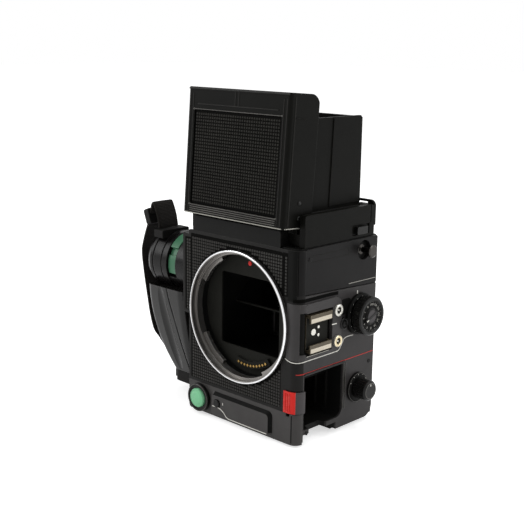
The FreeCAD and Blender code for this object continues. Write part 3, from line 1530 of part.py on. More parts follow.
NODES = {
    "main_housing": main_housing,
    "front_cover": front_cover,
    "front_leatherette": front_leatherette,
    "name_plate": name_plate,
    "chin_cover": chin_cover,
    "bayonet_ring": bayonet_ring,
    "throat_baffle": throat_baffle,
    "index_dot": index_dot,
    "contact_block": contact_block,
    "contact_pins": contact_pins,
    "rear_frame": rear_frame,
    "light_seal": light_seal,
    "magazine_hooks": magazine_hooks,
    "magazine_contacts": magazine_contacts,
    "drive_dog": drive_dog,
    "mirror_glass_sheet": mirror_glass_sheet,
    "mirror_carrier": mirror_carrier,
    "upper_light_flap": lambda: light_flap(1),
    "lower_light_flap": lambda: light_flap(-1),
    "focusing_screen": focusing_screen,
    "screen_frame": screen_frame,
    "upper_side_cover": upper_side_cover,
    "lower_side_cover": lower_side_cover,
    "control_panel": control_panel,
    "accessory_shoe": accessory_shoe,
    "shoe_contacts": shoe_contacts,
    "sync_sockets": sync_sockets,
    "lock_lever": lock_lever,
    "dial_collars": dial_collars,
    "speed_dial": speed_dial,
    "mode_dial": mode_dial,
    "strap_lugs": strap_lugs,
    "cover_screws": cover_screws,
    "latch_cap": latch_cap,
    "latch_tail": latch_tail,
    "battery_contacts": battery_contacts,
    "release_collar": release_collar,
    "release_button": release_button,
    "lockup_button": lockup_button,
    "base_plate": base_plate,
    "tripod_bush": tripod_bush,
    "feet": feet,
    "finder_frame": finder_frame,
    "finder_pins": finder_pins,
    "finder_catch": finder_catch,
    "lid_shell": lid_shell,
    "lid_leatherette": lid_leatherette,
    "magnifier_frame": magnifier_frame,
    "magnifier_lens": magnifier_lens,
    "right_wall": lambda: side_wall(1, right_wall_pin_z),
    "left_wall": lambda: side_wall(-1, left_wall_pin_z),
    "rear_wall": rear_wall,
    "grip_base": grip_base,
    "grip_hub": grip_hub,
    "grip_release": grip_release,
    "grip_drum": grip_drum,
    "grip_handle": grip_handle,
    "hand_strap": hand_strap,
    "strap_anchors": strap_anchors,
    "strap_buckle": strap_buckle,
}

os.makedirs("parts", exist_ok=True)
for name, make in NODES.items():
    shape = make()
    shape.exportStep("parts/" + name + ".step")
    print(name, len(shape.Solids), round(shape.Volume, 1), shape.isValid())
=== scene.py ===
import math

import bmesh
import bpy
from mathutils import Matrix, Vector


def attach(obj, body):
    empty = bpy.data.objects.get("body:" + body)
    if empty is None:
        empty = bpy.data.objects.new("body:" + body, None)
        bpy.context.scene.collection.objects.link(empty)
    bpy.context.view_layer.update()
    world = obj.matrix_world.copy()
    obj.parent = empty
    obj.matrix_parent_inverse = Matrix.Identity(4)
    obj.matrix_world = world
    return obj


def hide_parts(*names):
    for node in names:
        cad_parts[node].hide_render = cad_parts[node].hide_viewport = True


# Looks of the medium format film camera. Sizes are in millimetres, and MM turns them into metres.
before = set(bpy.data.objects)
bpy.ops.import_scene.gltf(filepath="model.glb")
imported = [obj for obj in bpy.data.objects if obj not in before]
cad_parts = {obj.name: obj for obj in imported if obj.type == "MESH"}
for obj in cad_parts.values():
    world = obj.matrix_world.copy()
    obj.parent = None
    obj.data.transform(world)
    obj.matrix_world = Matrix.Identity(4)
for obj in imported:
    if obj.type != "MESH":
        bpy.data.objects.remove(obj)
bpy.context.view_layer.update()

MM = 0.001

# Camera solved from the photograph
PHOTO_SIZE = 524.0
FOCAL_PIXELS = 981.9453286
SENSOR = 36.0
CAMERA_AZIMUTH = math.radians(43.77547366)
CAMERA_ELEVATION = math.radians(12.90090146)
CAMERA_ROLL = math.radians(0.78098713)
CAMERA_OFFSET = Vector((-15.43247907, 31.88941875, 561.82573551))

# Sizes shared with the solids
FRONT_FACE = 2.5
SIDE_FACE = 46.2
REAR_FACE = 71.3
FINDER_REAR = 69.0
CONTROL_FACE = 47.5
RING_RADIUS = 39.0
# Radius where the painted highlight on the lens ring's rim starts
RING_HIGHLIGHT_START = 38.0
RING_FLANK = 0.6
MIRROR_EDGE_SUM = -28.7
BASE_BOTTOM = -66.0
FLOOR = -67.4
LEATHER_LEFT = -40.1
LEATHER_RIGHT = 34.0
LEATHER_LOW = -45.9
LEATHER_HIGH = 43.5
LEATHER_EAR_RIGHT = 38.0
LEATHER_EAR_LOW = 19.2
CORNER_X = 41.0
CORNER_Y = 7.7
CORNER_RADIUS = 5.2
CORNER_QUARTER = CORNER_RADIUS * math.pi / 2
CORNER_SEAM = 3.45
PLATE_LOW = 20.6
PLATE_HIGH = 45.1
BLOCK_START = -3.1
BLOCK_LOW = -16.3
BLOCK_HIGH = 15.8
POCKET_START = 4.9
POCKET_LOW = -12.9
POCKET_HIGH = 10.9
EAR_LEFT = -45.3
EAR_LOW = -4.25
EAR_HIGH = 40.8
RELEASE = (-31.9, -57.1)
TONGUE_FACE = 0.7
TONGUE_RISE = 1.8
TONGUE_LEFT = -22.0
TONGUE_RIGHT = 28.0
TONGUE_TOP = -50.2
TONGUE_LOW = -64.8
LATCH_LOW = -48.5
LID_LEAN = math.radians(4.2)
LID_FOOT_Y = -4.4
LID_FOOT_Z = 57.2
LID_HALF = 39.8
LID_LENGTH = 72.0
LID_DEPTH = 23.1
LID_BORDER = 5.6
LID_SIDE_BORDER = 6.0
LID_BAND = 12.7
LID_INLAY = 2.5
LID_SHEET = 0.75
LID_BEADS = (34.9, 37.3)
LID_CORNER = 2.2
SHOE_RAILS = ((-12.9, -8.25), (4.25, 8.9))
LEVER = (40.2, -1.5)
LEVER_BODY = "lever"
WALL_REAR = 63.4
WALL_TOP = 114.5
RIGHT_PIN_Z = 62.2
LEFT_PIN_Z = 59.2
LIP_INNER = 34.3
LIP_OUTER = 36.7
LIP_REAR = 64.55
DIAL = (55.0, 1.6)
DIAL_COLLAR_TOP = 48.8
DIAL_FACE = 56.3
MODE = (55.2, -43.5)
MODE_COLLAR_TOP = 48.0
MODE_FACE = 56.9
GRIP = (27.0, 18.0)
DRUM_RADIUS = 19.0
DRUM_END = -89.0
HANDLE_FOOT_Z = -52.6
HANDLE_CAP = 7.6
STRAP_FOOT_X = -75.7
STRAP_FOOT_Y = 31.5
BAY_FRONT = 8.5
BAY_REAR = 42.0
BAY_TOP = -26.0
BAY_FLOOR = -58.0

# Small parts; a profile is (height, radius), an outline is front, rear, low and high
LID_RIDGES = (1.7, 2.85, 4.0, 5.15)
# Height of the painted highlight along the lid's foot
LID_FOOT_HIGHLIGHT = 0.35
LID_RIVETS = ((12.0, 5.7), (11.8, 13.8))
RIVET_HEAD = ((-0.1, 1.25), (0.25, 1.2), (0.5, 0.85), (0.58, 0.3))
RIVET_SEGMENTS = 20
SHOE_FLOOR = 45.0
SHOE_INLAY = (10.5, 28.5, -11.2, 7.2)
RAIL_FRONT = 10.8
RAIL_REAR = 28.2
RAIL_FACE = 48.4
SOCKET_FACE = 48.4
INSULATOR_FACE = 46.7
UPPER_SOCKET = (34.4, 7.7)
LOWER_SOCKET = (34.4, -10.4)
SOCKET_RING = ((0.0, 1.75), (0.4, 2.0), (0.45, 2.9), (0.05, 3.5))
INSULATOR = ((0.0, 2.25), (0.3, 2.2), (0.3, 1.2), (0.0, 1.1))
SCREW_RADIUS = 1.5
FINDER_SCREWS = ((-36.0, 60.0), (36.0, 60.0))
REAR_SCREWS = ((-36.0, -60.0), (36.0, -60.0), (0.0, -60.0))
BASE_SCREWS = ((-36.0, 58.0), (0.0, 58.0), (10.0, 9.0))
SPEEDS = ("1000", "500", "250", "125", "60", "30", "15", "8", "4", "2", "1", "B")
NUMBER_FACE = DIAL_FACE - 0.9
NUMBER_RADIUS = 7.0
NUMBER_SIZE = 1.8
NUMBER_STEP = 30.0
TICKS = 24
TICK_START = 8.5
TICK_END = 9.1
KNOB_TOP = DIAL_FACE - 0.2
BAR_SLANT = math.radians(24)
BAR_REACH = (-6.0, -5.2, 4.0, 4.6)
LEVER_FLANGE = ((0.05, 3.4), (0.4, 3.5), (0.6, 3.2), (0.6, 2.7), (0.3, 2.4), (0.3, 0.3))
LEVER_APRON = (38.3, 47.5, 3.4, 12.6)
PLATE_FRAME = (12.2, 44.0, 38.2, 41.7)
SPEED_MARK_RADIUS = 10.9
SPEED_MARK_ANGLES = range(20, 356, 24)
MODE_MARK_RADIUS = 7.9
MODE_MARK_ANGLES = range(150, 0, -30)
TONGUE_BEND = 3.0
TONGUE_INNER_BEND = 2.0
SMOOTH_ANGLE = math.radians(35)

# Hand strap
STRAP_HALF_WIDTH = 8.0
STRAP_HALF_THICK = 0.9
STRAP_CROWN = 0.18
STRAP_EDGE = 0.62
STITCH = ((-0.16, 0.0), (0.0, 0.2), (0.16, 0.0), (0.0, -0.1))
STITCH_LANE = STRAP_HALF_WIDTH - 1.7
STITCH_LENGTH = 3
STITCH_SPACING = 9
STRAP_STEPS = 8
STITCH_STEPS = 24

# Lines and skins: how deep their foot sits, top width as a share of the foot's, and their places
LINE_SUNK = -0.1
PAINT_SHARE = 0.9
WHITE_LINE_Z = -17.3
WHITE_BEND = (36.0, -13.9)
WHITE_BEND_RADIUS = 3.4
RED_LINE_Z = -24.3
# Height of the painted shadow in the gap under the side plate
GAP_Z = 17.6
POCKET_LINE_Z = -14.3
CHIN_SEAM_WAY = 1.4
SEAM_WIDTH = 0.45
SKIN_STEPS = 16
SKIN_SUNK = -0.2
SKIN_SOFT = 0.15
BLOCK_STEP = 0.35

# Grain of the inlays
FRONT_PITCH = 1.82
LID_PITCH = 1.82
PAD_SHARE = 0.8
PAD_TOP_SHARE = 0.5
PAD_RISE = 0.34
PAD_SINK = 0.05
PAD_MARGIN = 0.35
RING_MARGIN = 0.3

# Textures; the scales are per metre
# Scale of the spots of abrasion and painted edge highlight on sharp edges
WEAR_AND_HIGHLIGHT_SCALE = 240.0
SMEAR_SCALE = 34.0
SMEAR = 0.05
PEBBLE_SCALE = 1500.0
WEAVE_PITCH = 0.9
TURNING_PITCH = 0.25
FADE = 0.2
COAT_ROUGHNESS = 0.15
WHITE = (1.0, 1.0, 1.0, 1.0)

# Stage, in metres
STAGE_MIDDLE = (0.0, 0.03, 0.03)
FLOOR_HALF = 6.0
FLOOR_GREY = (0.82, 0.82, 0.82, 1.0)
FLOOR_GLOW = 0.6
BOUNCED_LIGHT = 0.55


# Colours, written as they look on screen

def tone(red, green, blue):
    """A screen colour from 0 to 255 as the linear colour that a shader takes."""
    def linear(value):
        share = value / 255
        return share / 12.92 if share <= 0.04045 else ((share + 0.055) / 1.055) ** 2.4
    return linear(red), linear(green), linear(blue), 1.0


# Materials

def fill(made, **values):
    """Set values by name; one that is no property of the thing goes to its input of that name."""
    for name, value in values.items():
        if hasattr(made, name):
            setattr(made, name, value)
        else:
            made.inputs[name.replace("_", " ")].default_value = value


def node(tree, kind, *links, **values):
    """A new node with its values set and its first inputs linked."""
    made = tree.nodes.new(kind)
    fill(made, **values)
    for k, output in enumerate(links):
        tree.links.new(output, made.inputs[k])
    return made


def noise(tree, coordinates, scale, detail=3.0, roughness=0.55):
    made = node(tree, "ShaderNodeTexNoise", coordinates, Scale=scale, Detail=detail, Roughness=roughness)
    return made.outputs["Fac"]


def ranged(tree, value, low, high, from_low=0.3, from_high=0.7):
    """From low to high while a value runs over its own range, and held beyond it."""
    made = node(tree, "ShaderNodeMapRange", value, From_Min=from_low, From_Max=from_high,
                To_Min=low, To_Max=high)
    return made.outputs["Result"]


def maths(tree, operation, first, second, **values):
    return node(tree, "ShaderNodeMath", first, second, operation=operation, **values).outputs["Value"]


def mixed(tree, share, first, second):
    """Mix two colours; each is a colour or an output."""
    made = node(tree, "ShaderNodeMix", share, data_type="RGBA")
    colour_inputs = [s for s in made.inputs if s.type == "RGBA"]
    for value, socket in zip((first, second), colour_inputs):
        if isinstance(value, tuple):
            socket.default_value = value
        else:
            tree.links.new(value, socket)
    return [s for s in made.outputs if s.type == "RGBA"][0]


def shaded(colour, factor):
    return tuple(channel * factor for channel in colour[:3]) + (1.0,)


def edge_mask(tree, radius):
    """Where a surface turns sharply, from the angle between its own and its bevelled normal."""
    bevel = node(tree, "ShaderNodeBevel", samples=6, Radius=radius).outputs["Normal"]
    own = node(tree, "ShaderNodeNewGeometry").outputs["Normal"]
    dot = node(tree, "ShaderNodeVectorMath", bevel, own, operation="DOT_PRODUCT").outputs["Value"]
    return bevel, ranged(tree, dot, 1.0, 0.0, 0.86, 0.99)


def new_material(name):
    """A material with its node tree and its shader."""
    made = bpy.data.materials.new(name)
    made.use_nodes = True
    return made, made.node_tree, made.node_tree.nodes["Principled BSDF"]


def make_finish(name, colour, roughness, metallic=0.0, specular=0.5, mottle=0.16, mottle_scale=70.0,
                grain_scale=2600.0, bump=0.25, bump_depth=0.00006, rough_spread=0.08, edge=0.0003,
                worn=None, wear=0.0, coat=0.0, sheen=0.0, pattern=None):
    """One procedural material: colour with slow mottling and fine grain, lighter spots on sharp edges that
    are partly abrasion and partly a painted edge highlight, bump and soft edges.
    """
    made, tree, shader = new_material(name)
    fill(shader, Metallic=metallic, Specular_IOR_Level=specular, Coat_Weight=coat,
         Coat_Roughness=COAT_ROUGHNESS, Sheen_Weight=sheen)
    place = node(tree, "ShaderNodeTexCoord").outputs["Object"]
    slow = noise(tree, place, mottle_scale, 4.0)
    fine = noise(tree, place, grain_scale, 2.0)
    base = mixed(tree, ranged(tree, slow, 0.0, 1.0), shaded(colour, 1 - mottle), shaded(colour, 1 + mottle))
    height = fine
    if pattern:
        height, pattern_share, pattern_colour = pattern(tree, place, fine)
        if pattern_colour:
            base = mixed(tree, pattern_share, base, pattern_colour)
    lift = node(tree, "ShaderNodeBump", Strength=bump, Distance=bump_depth)
    if edge > 0:
        normal, mask = edge_mask(tree, edge)
        tree.links.new(normal, lift.inputs["Normal"])
        # Lighter colour in spots along sharp edges: partly abrasion, partly a painted highlight on the edges.
        if wear > 0:
            wear_and_highlight_patch = ranged(tree, noise(tree, place, WEAR_AND_HIGHLIGHT_SCALE, 5.0, 0.7), 0.0, wear, 0.42, 0.62)
            base = mixed(tree, maths(tree, "MULTIPLY", mask, wear_and_highlight_patch), base, worn or shaded(colour, 3.0))
    rough = ranged(tree, fine, roughness - rough_spread, roughness + rough_spread)
    smear = ranged(tree, noise(tree, place, SMEAR_SCALE), -SMEAR, SMEAR)
    tree.links.new(height, lift.inputs["Height"])
    tree.links.new(base, shader.inputs["Base Color"])
    tree.links.new(maths(tree, "ADD", rough, smear), shader.inputs["Roughness"])
    tree.links.new(lift.outputs["Normal"], shader.inputs["Normal"])
    return made


# Patterns: each gives the bump height, and the share and colour of a second tone or None

def woven(tree, place, fine):
    """Crossed threads of a narrow webbing."""
    waves = []
    for direction in ("Y", "Z"):
        wave = node(tree, "ShaderNodeTexWave", place, wave_type="BANDS", bands_direction=direction,
                    Scale=1 / (WEAVE_PITCH * MM) / 3, Distortion=1.2, Detail=1.0)
        waves.append(wave.outputs["Fac"])
    threads = maths(tree, "MULTIPLY", *waves)
    return threads, ranged(tree, threads, 0.0, 0.7, 0.1, 0.9), tone(48, 45, 42)


def painted_highlight_rim(tree, place, fine):
    """Lens ring with fine turning marks and a near white painted highlight on its outer rim; the bore keeps
    the base colour.
    """
    split = node(tree, "ShaderNodeSeparateXYZ", place)
    flat = node(tree, "ShaderNodeCombineXYZ", split.outputs["X"], split.outputs["Z"]).outputs["Vector"]
    radius = node(tree, "ShaderNodeVectorMath", flat, operation="LENGTH").outputs["Value"]
    line = node(tree, "ShaderNodeCombineXYZ", radius).outputs["Vector"]
    height = noise(tree, line, 1 / (TURNING_PITCH * MM), 2.0)
    # Mask of the painted highlight: the outer rim from its start radius, in front of the flank
    rim = ranged(tree, radius, 0.0, 1.0, RING_HIGHLIGHT_START * MM, (RING_HIGHLIGHT_START + FADE) * MM)
    face = ranged(tree, split.outputs["Y"], 1.0, 0.0, RING_FLANK * MM, (RING_FLANK + FADE) * MM)
    return height, maths(tree, "MULTIPLY", rim, face), tone(232, 232, 234)


def dark_glass_edge(tree, place, fine):
    """Ground front edge of the mirror, painted black."""
    along = node(tree, "ShaderNodeVectorMath", place, operation="DOT_PRODUCT")
    along.inputs[1].default_value = (0.0, -1.0, -1.0)
    limit = (MIRROR_EDGE_SUM - 0.7) * MM
    return fine, ranged(tree, along.outputs["Value"], 0.0, 1.0, limit, limit + FADE * MM), tone(10, 10, 9)


def pebbled(tree, place, fine):
    """Pebble grain of a soft covering."""
    cells = node(tree, "ShaderNodeTexVoronoi", place, feature="SMOOTH_F1", Scale=PEBBLE_SCALE, Smoothness=0.6)
    return cells.outputs["Distance"], None, None


def glass(name, colour, roughness):
    made = make_finish(name, colour, roughness, mottle=0.02, bump=0.02, rough_spread=0.01, edge=0.0002)
    fill(made.node_tree.nodes["Principled BSDF"], Transmission_Weight=1.0, IOR=1.5)
    return made


def make_finishes():
    """All materials by name, each from its screen colour, its roughness and its specular share."""
    made = {}

    def add(name, red, green, blue, roughness, specular=0.5, **more):
        made[name] = make_finish(name, tone(red, green, blue), roughness, specular=specular, **more)

    # Edge colours for the finishes below: lighter than the base, partly abrasion and partly a painted edge
    # highlight
    rubbed_and_highlit_edges = {"worn": tone(64, 63, 60), "wear": 0.5}
    rubbed_and_highlit_paint = {"worn": tone(64, 63, 60), "wear": 0.6, "grain_scale": 3400.0, "bump": 0.35}
    bare_and_highlit_edges = {"worn": tone(120, 118, 114), "wear": 0.4}
    grey_paint = {"grain_scale": 3400.0, "bump": 0.35, **bare_and_highlit_edges}
    lacquer = {"grain_scale": 2200.0, "bump": 0.45, "bump_depth": 0.00008, "edge": 0.0006}
    add("body_black", 15, 15, 14, 0.5, 0.08, **rubbed_and_highlit_edges)
    add("cover_black", 22, 21, 20, 0.42, 0.1, **rubbed_and_highlit_paint)
    add("plate_black", 17, 16, 16, 0.42, 0.09, **rubbed_and_highlit_paint)
    # The chin's black is lighter than the front cover's, a painted reflection of the pale floor
    add("chin_black_and_floor_reflection", 55, 53, 52, 0.4, 0.22, **grey_paint)
    add("side_grey", 46, 44, 44, 0.42, 0.15, **grey_paint)
    add("control_grey", 50, 48, 48, 0.4, 0.2, **grey_paint)
    # Lighter than the lid shell's black, a painted highlight along the lid's beads
    add("bead_black_and_highlight", 27, 26, 24, 0.4, 0.12, edge=0.0001, **rubbed_and_highlit_edges)
    add("number_grey", 150, 148, 142, 0.5, 0.15, mottle=0.06, edge=0.0)
    add("hood_black", 13, 13, 11, 0.42, 0.05, grain_scale=3000.0, bump=0.3, **rubbed_and_highlit_edges)
    add("grained_black", 8, 8, 7, 0.6, 0.02, edge=0.0)
    add("pad_black", 56, 55, 53, 0.4, 0.1, edge=0.0)
    add("lid_pad_black", 38, 37, 34, 0.42, 0.08, edge=0.0)
    add("dull_black", 28, 28, 25, 0.75, 0.1, bump=0.3, wear=0.1)
    add("black_knob", 14, 14, 13, 0.3, 0.18, worn=tone(84, 82, 79), wear=0.3)
    # Near black for dark trim, also used as painted shade in the shoe pocket's mouth and on the tongue
    # panel's bevel
    add("dark_trim_and_shade", 12, 12, 11, 0.5, 0.05, edge=0.0)
    # The lens ring gets a painted highlight on its outer rim
    add("ring_steel", 122, 119, 116, 0.3, metallic=0.85, mottle=0.06, mottle_scale=40.0, bump=0.05,
        rough_spread=0.04, pattern=painted_highlight_rim)
    add("steel", 150, 148, 144, 0.28, metallic=1.0, mottle=0.06, bump=0.15, rough_spread=0.06)
    add("dark_steel", 58, 56, 54, 0.3, metallic=1.0, mottle=0.1, bump=0.15,
        worn=tone(170, 168, 162), wear=0.6)
    add("silver_socket", 206, 204, 196, 0.3, metallic=0.8, mottle=0.08, bump=0.1)
    add("brass", 212, 198, 164, 0.3, metallic=0.8, mottle=0.1, bump=0.1)
    add("gold_contact", 146, 118, 70, 0.26, metallic=1.0, mottle=0.1, bump=0.08)
    # Darker than the cream of the rail faces: painted shade on the shoe's frame and rail flanks
    add("shoe_metal", 78, 70, 56, 0.4, metallic=0.5, mottle=0.12, bump=0.15,
        worn=tone(190, 178, 154), wear=0.5)
    add("shoe_bright", 186, 178, 162, 0.34, metallic=0.6, mottle=0.05, bump=0.12, edge=0.0001)
    add("green", 124, 200, 150, 0.36, 0.3, mottle=0.06, edge=0.0004, coat=0.15,
        worn=tone(150, 200, 166), wear=0.5)
    add("lever_green", 56, 104, 76, 0.38, 0.25, mottle=0.12, edge=0.0004, worn=tone(130, 180, 146), wear=0.4)
    # Pale grey for painted highlights along edges: the lid's foot, the upper plate's lower edge and the shoe
    # pocket's lower edge
    add("highlight_line_grey", 164, 162, 154, 0.4, 0.2, mottle=0.08, edge=0.0)
    add("red", 208, 32, 24, 0.38, 0.22, mottle=0.06, worn=tone(236, 150, 140), wear=0.6)
    add("line_red", 176, 46, 40, 0.5, 0.2, mottle=0.06, edge=0.0)
    add("line_white", 226, 224, 216, 0.5, 0.2, mottle=0.04, edge=0.0)
    # Grey for painted highlights on rims, ridges and edge mouldings
    add("highlight_edge_grey", 78, 76, 72, 0.34, 0.3, mottle=0.2, edge=0.0001)
    add("grey", 60, 57, 58, 0.42, 0.22, **bare_and_highlit_edges)
    add("rubber_black", 14, 13, 12, 0.62, 0.12, bump=0.5, pattern=pebbled)
    add("drum_black", 9, 8, 8, 0.26, 0.13, mottle=0.12, worn=tone(90, 88, 86), wear=0.4, **lacquer)
    add("grip_black", 20, 19, 18, 0.22, 0.3, mottle=0.14, **lacquer)
    add("foam_black", 16, 16, 15, 0.95, 0.05, grain_scale=5200.0, bump=0.9, bump_depth=0.0002, sheen=0.1)
    add("strap_black", 21, 19, 17, 0.75, 0.08, mottle=0.2, bump=0.9, bump_depth=0.00025, sheen=0.05,
        edge=0.0, pattern=woven)
    add("thread_black", 46, 43, 40, 0.8, 0.08, bump=0.6, edge=0.0)
    add("mirror_glass", 150, 154, 156, 0.03, metallic=1.0, mottle=0.01, bump=0.01, rough_spread=0.01,
        edge=0.0, pattern=dark_glass_edge)
    made["screen_glass"] = glass("screen_glass", tone(214, 220, 222), 0.28)
    made["lens_glass"] = glass("lens_glass", tone(244, 248, 248), 0.03)
    return made


FINISH = make_finishes()

# The solids that take each finish
SOLIDS = {
    "body_black": "main_housing name_plate rear_frame base_plate",
    "cover_black": "front_cover",
    "plate_black": "upper_side_cover cover_screws",
    # The chin cover's lighter black holds a painted reflection of the floor
    "chin_black_and_floor_reflection": "chin_cover",
    "side_grey": "lower_side_cover",
    "control_grey": "control_panel",
    "hood_black": "finder_frame lid_shell magnifier_frame right_wall left_wall rear_wall",
    "grained_black": "front_leatherette lid_leatherette",
    "dull_black": "throat_baffle contact_block mirror_carrier upper_light_flap lower_light_flap screen_frame",
    "black_knob": "lock_lever speed_dial mode_dial release_collar lockup_button finder_catch",
    "dark_trim_and_shade": "dial_collars",
    "ring_steel": "bayonet_ring",
    "steel": "magazine_hooks drive_dog tripod_bush finder_pins",
    "dark_steel": "strap_lugs grip_base",
    "silver_socket": "shoe_contacts sync_sockets",
    "gold_contact": "contact_pins magazine_contacts battery_contacts",
    # The shoe's darker metal holds painted shade
    "shoe_metal": "accessory_shoe",
    "green": "release_button",
    "lever_green": "grip_release",
    "red": "index_dot latch_cap",
    "grey": "latch_tail",
    "rubber_black": "feet strap_anchors strap_buckle",
    "drum_black": "grip_hub grip_drum",
    "grip_black": "grip_handle",
    "foam_black": "light_seal",
    "mirror_glass": "mirror_glass_sheet",
    "screen_glass": "focusing_screen",
    "lens_glass": "magnifier_lens",
}


def dress_nodes():
    """Put the procedural materials on the solids that stay."""
    for finish, names in SOLIDS.items():
        for name in names.split():
            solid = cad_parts[name]
            if not solid.material_slots:
                solid.data.materials.append(FINISH[finish])
            for held in solid.material_slots:
                held.material = FINISH[finish]


# Places: each takes two coordinates along a surface and a height above it

def facing_front(y):
    return lambda u, v, w: (u, y - w, v)


def facing_side(x):
    return lambda u, v, w: (x + w, u, v)


on_front = facing_front(FRONT_FACE)
on_tongue = facing_front(TONGUE_FACE)
on_side = facing_side(SIDE_FACE)
on_control = facing_side(CONTROL_FACE)


def on_corner(u, v, w):
    """Round the right front corner; u is the way from where the front face starts to turn."""
    if u <= 0:
        return (CORNER_X + u, FRONT_FACE - w, v)
    if u >= CORNER_QUARTER:
        return (SIDE_FACE + w, CORNER_Y + u - CORNER_QUARTER, v)
    angle = u / CORNER_RADIUS
    radius = CORNER_RADIUS + w
    return (CORNER_X + radius * math.sin(angle), CORNER_Y - radius * math.cos(angle), v)


def in_lid(u, back, up):
    """A point of the lid's own upright frame at the lid's rest place."""
    y = LID_FOOT_Y + back * math.cos(LID_LEAN) + up * math.sin(LID_LEAN)
    z = LID_FOOT_Z - back * math.sin(LID_LEAN) + up * math.cos(LID_LEAN)
    return (u, y, z)


def on_lid(u, v, w):
    return in_lid(u, -w, v)


def on_lid_panel(u, v, w):
    return in_lid(u, LID_SHEET - w, v)


def on_skirt(way):
    """The lid's outer side face; u runs back from the front and v up."""
    return lambda u, v, w: in_lid(way * (LID_HALF + w), u, v)


def on_lid_corner(way):
    """The lid's rounded front corner; u is the way round it from the front and v up."""
    def place(u, v, w):
        angle = u / LID_CORNER
        radius = LID_CORNER + w
        across = LID_HALF - LID_CORNER + radius * math.sin(angle)
        return in_lid(way * across, LID_CORNER - radius * math.cos(angle), v)
    return place


# Mesh building

def placed(name, data):
    """A new object in the scene."""
    made = bpy.data.objects.new(name, data)
    bpy.context.scene.collection.objects.link(made)
    return made


def polar(centre, radius, angle):
    return (centre[0] + radius * math.cos(angle), centre[1] + radius * math.sin(angle))


def turned(axis, centre, along, radius, k, segments):
    """Point number k of a circle about a line parallel to an axis."""
    a, b = polar(centre, radius, 2 * math.pi * k / segments)
    return {"x": (along, a, b), "y": (a, along, b), "z": (a, b, along)}[axis]


class Build:
    """Closed forms gathered into one mesh."""

    def __init__(self):
        self.points = []
        self.faces = []

    def loft(self, rings, closed=False):
        """Skin over rings of points, with caps unless the run closes on itself."""
        start = len(self.points)
        count = len(rings[0])
        for ring in rings:
            self.points.extend(ring)
        spans = len(rings) if closed else len(rings) - 1
        for i in range(spans):
            a = start + i * count
            b = start + ((i + 1) % len(rings)) * count
            for k in range(count):
                following = (k + 1) % count
                self.faces.append((a + k, a + following, b + following, b + k))
        if not closed:
            self.faces.append(tuple(start + k for k in reversed(range(count))))
            last = start + (len(rings) - 1) * count
            self.faces.append(tuple(last + k for k in range(count)))

    def pad(self, place, u, v, base, top, low, high):
        """A small flat topped pyramid."""
        rings = []
        for half, w in ((base, low), (top, high)):
            rings.append([place(u - half, v - half, w), place(u + half, v - half, w),
                          place(u + half, v + half, w), place(u - half, v + half, w)])
        self.loft(rings)

    def run(self, path, place, half, high, low=LINE_SUNK, share=PAINT_SHARE, closed=False):
        """A raised line along a path on a surface."""
        rings = []
        count = len(path)
        for i, (u, v) in enumerate(path):
            before = path[i - 1] if closed or i > 0 else path[i]
            after = path[(i + 1) % count] if closed or i < count - 1 else path[i]
            du = after[0] - before[0]
            dv = after[1] - before[1]
            length = math.hypot(du, dv) or 1.0
            nu, nv = -dv / length, du / length
            stretch = 1.0
            if closed or 0 < i < count - 1:
                first = (u - before[0], v - before[1])
                size = math.hypot(*first) or 1.0
                sine = abs(-first[1] / size * nu + first[0] / size * nv)
                stretch = 1.0 / max(0.5, sine)
            section = []
            for side, w in ((half, low), (half * share, high), (-half * share, high), (-half, low)):
                section.append(place(u + nu * side * stretch, v + nv * side * stretch, w))
            rings.append(section)
        self.loft(rings, closed)

    def lathe(self, profile, axis, centre, base, segments=48):
        """Turn a profile of (height over the base, radius), end to end, about a line parallel to an axis."""
        self.loft([[turned(axis, centre, base + along, radius, k, segments) for k in range(segments)]
                   for along, radius in profile])

    def hoop(self, profile, axis, centre, base, segments=96):
        """Turn a closed profile of (height over the base, radius) into a ring."""
        self.loft([[turned(axis, centre, base + along, radius, k, segments) for along, radius in profile]
                   for k in range(segments)], closed=True)

    def slab(self, outline, place, low, high, bevel):
        """A plate with a chamfered top edge, from a convex outline."""
        centre_u = sum(p[0] for p in outline) / len(outline)
        centre_v = sum(p[1] for p in outline) / len(outline)
        rings = [[place(u, v, low) for u, v in outline], [place(u, v, high - bevel) for u, v in outline]]
        inner = []
        for u, v in outline:
            du, dv = u - centre_u, v - centre_v
            size = math.hypot(du, dv)
            inner.append(place(u - du / size * bevel, v - dv / size * bevel, high))
        self.loft(rings + [inner])

    def piece(self, name, finish, slot, body="camera_body", smooth=False):
        mesh = bpy.data.meshes.new(name)
        mesh.from_pydata([(x * MM, y * MM, z * MM) for x, y, z in self.points], [], self.faces)
        mesh.update()
        mesh.materials.append(FINISH[finish])
        made = placed(name, mesh)
        outward(mesh)
        if smooth:
            mesh.polygons.foreach_set("use_smooth", [True] * len(mesh.polygons))
            mesh.set_sharp_from_angle(angle=SMOOTH_ANGLE)
        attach(made, body)
        return made


def outward(mesh):
    """Turn every face outward."""
    held = bmesh.new()
    held.from_mesh(mesh)
    bmesh.ops.recalc_face_normals(held, faces=held.faces)
    held.to_mesh(mesh)
    held.free()
    mesh.update()


def arc(centre, radius, start, end, count):
    """Points on an arc, angles in degrees."""
    return [polar(centre, radius, math.radians(start + (end - start) * i / count)) for i in range(count + 1)]


def rounded_rectangle(u0, u1, v0, v1, radius, count=5):
    left, right, low, high = u0 + radius, u1 - radius, v0 + radius, v1 - radius
    points = []
    for k, centre in enumerate(((right, high), (left, high), (left, low), (right, low))):
        points += arc(centre, radius, 90 * k, 90 * k + 90, count)
    return points


